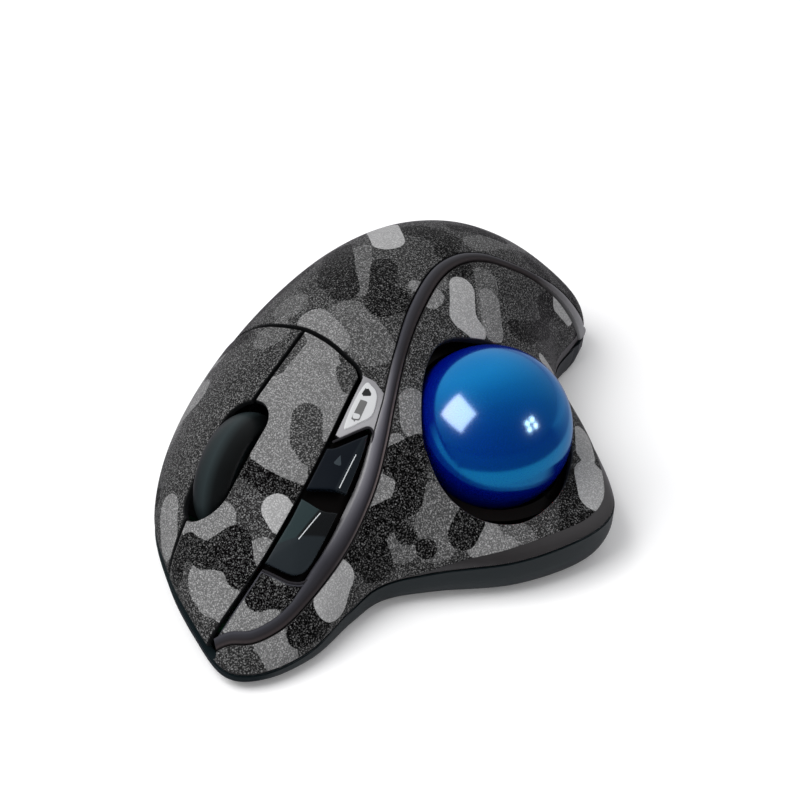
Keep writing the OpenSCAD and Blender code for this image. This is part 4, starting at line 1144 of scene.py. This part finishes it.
def bowl():
    # the socket as a smooth bowl round the ball, open for the sensor and for a finger from below
    loop = resample(mouthLoop, 0.5, True)
    edge = np.c_[loop, skinHeight(loop)] - skinNormal(loop, 0.1) * mouthForm["cupTop"] - ballAt
    around = np.arctan2(edge[:, 1], edge[:, 0])
    first = np.arccos(edge[:, 2] / np.linalg.norm(edge, axis=1))
    last = math.pi - math.asin(mouthForm["cupHole"] / mouthForm["cupInner"])
    count, rows = len(loop), mouthForm["cupRows"]
    fall = first + (last - first) * np.linspace(0, 1, rows)[:, None]
    ways = np.stack([np.sin(fall) * np.cos(around), np.sin(fall) * np.sin(around), np.cos(fall)], 2)
    points = np.vstack([(ballAt + ways * reach).reshape(-1, 3) for reach in (mouthForm["cupInner"], mouthForm["cupOuter"])])
    toward, size = mouthForm["window"]
    middles = (ways[:-1] + ways[1:] + np.roll(ways, -1, 1)[:-1] + np.roll(ways, -1, 1)[1:]) / 4
    whole = np.abs(middles - toward).max(2) > size
    faces = []
    for k in range(rows - 1):
        for i in range(count):
            ring = [k * count + i, k * count + (i + 1) % count, (k + 1) * count + (i + 1) % count, (k + 1) * count + i]
            if not whole[k, i]:
                continue
            faces += [tuple(ring), tuple(j + rows * count for j in ring[::-1])]
            beyond = ((k - 1, i), (k, (i + 1) % count), (k + 1, i), (k, i - 1))
            for (row, column), a, b in zip(beyond, ring, ring[1:] + ring[:1]):
                if not 0 <= row < rows - 1 or not whole[row, column]:
                    faces.append((b, a, a + rows * count, b + rows * count))
    return {"points": points, "faces": faces}


meshPiece("socketBowl", [bowl()], plastics["well"], "base", ["ball_socket"])
print("ball ready")


def tyreFinish():
    # rubber with a painted sheen, a lighter band across the tread near the crown, and painted shade darker toward the
    # left button
    def colourOf(tree, tone):
        middle, half = wheelForm["at"][0] * mm, wheelForm["width"] / 2 * mm
        share = mapped(tree, along(tree, (1, 0, 0)), middle - half, middle + half, 0, 1)
        colour = rampOf(tree, share, [(0, tint(8, 9, 9)), (0.3, tint(11, 14, 15)), (0.55, tint(36, 45, 47)),
                                      (1, tint(8, 12, 13))])
        return cloudy(tree, tone, colour, tint(52, 60, 62), 0.08)

    return mouldedFinish("tyreRubber", 0.5, 0.15, colourOf)


half, crownRadius = wheelForm["width"] / 2, wheelForm["width"] * wheelForm["crown"]
bore, lip = wheelForm["bore"], wheelForm["lip"]
across = np.linspace(-half, half, 25)
tyre = np.c_[wheelForm["diameter"] / 2 - crownRadius + np.sqrt(crownRadius ** 2 - across ** 2), across]
tyre = np.vstack([[(bore, -half), (lip, -half)], tyre, [(lip, half), (bore, half)]])
tyreRows = np.repeat(tyre[:, None], wheelForm["segments"], axis=1)
meshPiece("wheelTyre", [turned(tyreRows[::-1], (1, 0, 0), wheelForm["at"])], tyreFinish(), "wheel", ["wheel_tyre"])
print("wheel ready")

caseForm = {
    # inset and share of the height, from the seam down to the foot, and then with a shift back up inside
    "profile": [(0, 1), (0.4, 0.55), (1.8, 0.2), (4, 0)], "proud": 0.14, "seam": 0.3,
    "inside": [(5, 0, -0.04), (5, 0.05, 0.2), (2.4, 0.25, 0), (1.1, 0.55, 0), (0.8, 1, 0)],
}


def caseRow(inset, share, shift=0.0):
    line = outline[::4]
    out = line[:, :2] - middle
    reach = np.linalg.norm(out, axis=1)
    top = line[:, 2] - caseForm["seam"]
    foot = skinForm["footHeight"]
    return np.c_[middle + out * (1 - inset / reach)[:, None], foot + share * (top - foot) + shift]


caseRows = [caseRow(a - caseForm["proud"], b) for a, b in throughPoints(caseForm["profile"], 6)]
caseRows += [caseRow(*row) for row in caseForm["inside"]]
caseFaces = [(a, d, c, b) for a, b, c, d in ringFaces(len(caseRows), len(caseRows[0]))]
meshPiece("caseSkirt", [{"points": np.vstack(caseRows), "faces": caseFaces}], plastics["case"], "base")
print("case ready")

stageForm = {"azimuth": 209, "elevation": 37, "distance": 520, "aim": (0, 0, 15), "sideways": -1.77, "upwards": 7.21,
             "lens": 112.32, "sensor": 36}
scene = bpy.context.scene
az, el = math.radians(stageForm["azimuth"]), math.radians(stageForm["elevation"])
toRight = Vector((math.cos(az), math.sin(az), 0))
toCamera = Vector((math.sin(az) * math.cos(el), -math.cos(az) * math.cos(el), math.sin(el)))
toTop = toCamera.cross(toRight)
cameraData = bpy.data.cameras.new("camera")
cameraData.lens, cameraData.sensor_width = stageForm["lens"], stageForm["sensor"]
camera = bpy.data.objects.new("camera", cameraData)
spot = (Vector(stageForm["aim"]) + toCamera * stageForm["distance"] + toRight * stageForm["sideways"]
        + toTop * stageForm["upwards"]) * mm
turn = Matrix((toRight, toTop, toCamera)).transposed().to_4x4()
camera.matrix_world = Matrix.Translation(spot) @ turn
scene.collection.objects.link(camera)
scene.camera = camera


def floorFinish():
    # matt white with the shadow kept; to glossy rays a painted reflection, pale near the mouse and behind it, dark a
    # short way in front of it, so in the ball the floor ends a short way in front of the mouse
    finish, tree, shader = newFinish("whiteFloor", Roughness=0.9, Emission_Color=(1, 1, 1, 1))
    light = addNode(tree, "ShaderNodeLightPath")
    away, reach = (addNode(tree, "ShaderNodeVectorMath", {"operation": kind}) for kind in ("SUBTRACT", "LENGTH"))
    away.inputs[1].default_value = Vector((ballAt[0], ballAt[1], 0)) * mm
    joined(tree, (objectPlace(tree), away.inputs[0]), (away.outputs["Vector"], reach.inputs[0]))
    ahead = along(tree, (toCamera.x, toCamera.y, 0), away.outputs["Vector"])
    near = mixColours(tree, mapped(tree, reach.outputs["Value"], 0.066, 0.07, 0, 1), (0.66, 0.66, 0.68, 1.0),
                      (0.12, 0.12, 0.14, 1.0))
    mirrored = mixColours(tree, mapped(tree, ahead, -0.06, 0.0, 0, 1), (0.62, 0.58, 0.64, 1.0), near)
    white = cloudy(tree, grainOf(tree, 300.0, 4.0)[1], (0.93, 0.93, 0.93, 1.0), (0.95, 0.95, 0.95, 1.0))
    feed(tree, shader, Base_Color=mixColours(tree, light.outputs["Is Glossy Ray"], white, mirrored),
         Emission_Strength=mapped(tree, light.outputs["Is Camera Ray"], 0, 1, 0, 0.1))
    return finish


def addFloor(size=3.0):
    mesh = bpy.data.meshes.new("floor")
    mesh.from_pydata([(-size, -size, 0), (size, -size, 0), (size, size, 0), (-size, size, 0)], [], [(0, 1, 2, 3)])
    mesh.materials.append(floorFinish())
    floor = bpy.data.objects.new("floor", mesh)
    scene.collection.objects.link(floor)


def skyRamp(tree, height, stops):
    return rampOf(tree, height, [(at, (value, value, value * 1.02, 1)) for at, value in stops])


def addWorld():
    # soft light from above, and a room that brightens behind the mouse for the reflections
    world = bpy.data.worlds.new("studio")
    world.use_nodes = True
    tree = world.node_tree
    place = addNode(tree, "ShaderNodeTexCoord").outputs["Generated"]
    light = addNode(tree, "ShaderNodeLightPath")
    soft = skyRamp(tree, along(tree, (0, 0, 1), place), [(0, 0.5), (1, 0.64)])
    room = skyRamp(tree, mapped(tree, along(tree, (0.64, -0.54, 0.54), place), -1, 1, 0, 1),
                   [(0, 0.1), (0.3, 0.18), (0.55, 0.32), (0.75, 0.6), (0.95, 1.1)])
    seen = mixColours(tree, light.outputs["Is Glossy Ray"], soft, room)
    seen = mixColours(tree, light.outputs["Is Camera Ray"], seen, (1.0, 1.0, 1.0, 1.0))
    feed(tree, tree.nodes["Background"], Color=seen)
    scene.world = world


def addLamp(name, direction, distance, size, energy, colour=(1, 1, 1), only=None):
    # a lamp meant for one piece shows in its gloss and lights nothing else
    data = bpy.data.lights.new(name, "AREA")
    data.shape, data.size, data.size_y, data.energy, data.color = "RECTANGLE", size[0], size[1], energy, colour
    lamp = bpy.data.objects.new(name, data)
    lamp.location = Vector((0, 0, 20)) * mm + Vector(direction).normalized() * distance
    lamp.rotation_euler = Vector(direction).to_track_quat("Z", "Y").to_euler()
    lamp.visible_diffuse, lamp.visible_glossy = only is None, only is not None
    if only:
        data.shape = "ELLIPSE" if size[0] < 0.2 else "RECTANGLE"
        lamp.light_linking.receiver_collection = only
    scene.collection.objects.link(lamp)


addFloor()
addWorld()
addLamp("keyBox", (0.32, 0.44, 0.84), 0.8, (0.6, 0.5), 5.4)
# a window and four bulbs mirrored in the ball, warm to stay white on the blue
ballOnly = bpy.data.collections.new("ballOnly")
ballOnly.objects.link(ballPiece)
addLamp("window", (0.44, 0.62, 0.65), 0.75, (0.56, 0.46), 80, (1, 0.045, 0.04), ballOnly)
for k, (across, up) in enumerate(((-0.075, 0.09), (0.085, 0.1), (-0.065, -0.09), (0.1, -0.07))):
    addLamp("bulb" + str(k), (-0.92 - 0.3 * up, -0.07 + across, 0.38 + up), 0.7, (0.075, 0.075), 3, (1, 0.06, 0.05),
            ballOnly)
scene.view_settings.view_transform = "Standard"
print("stage ready")
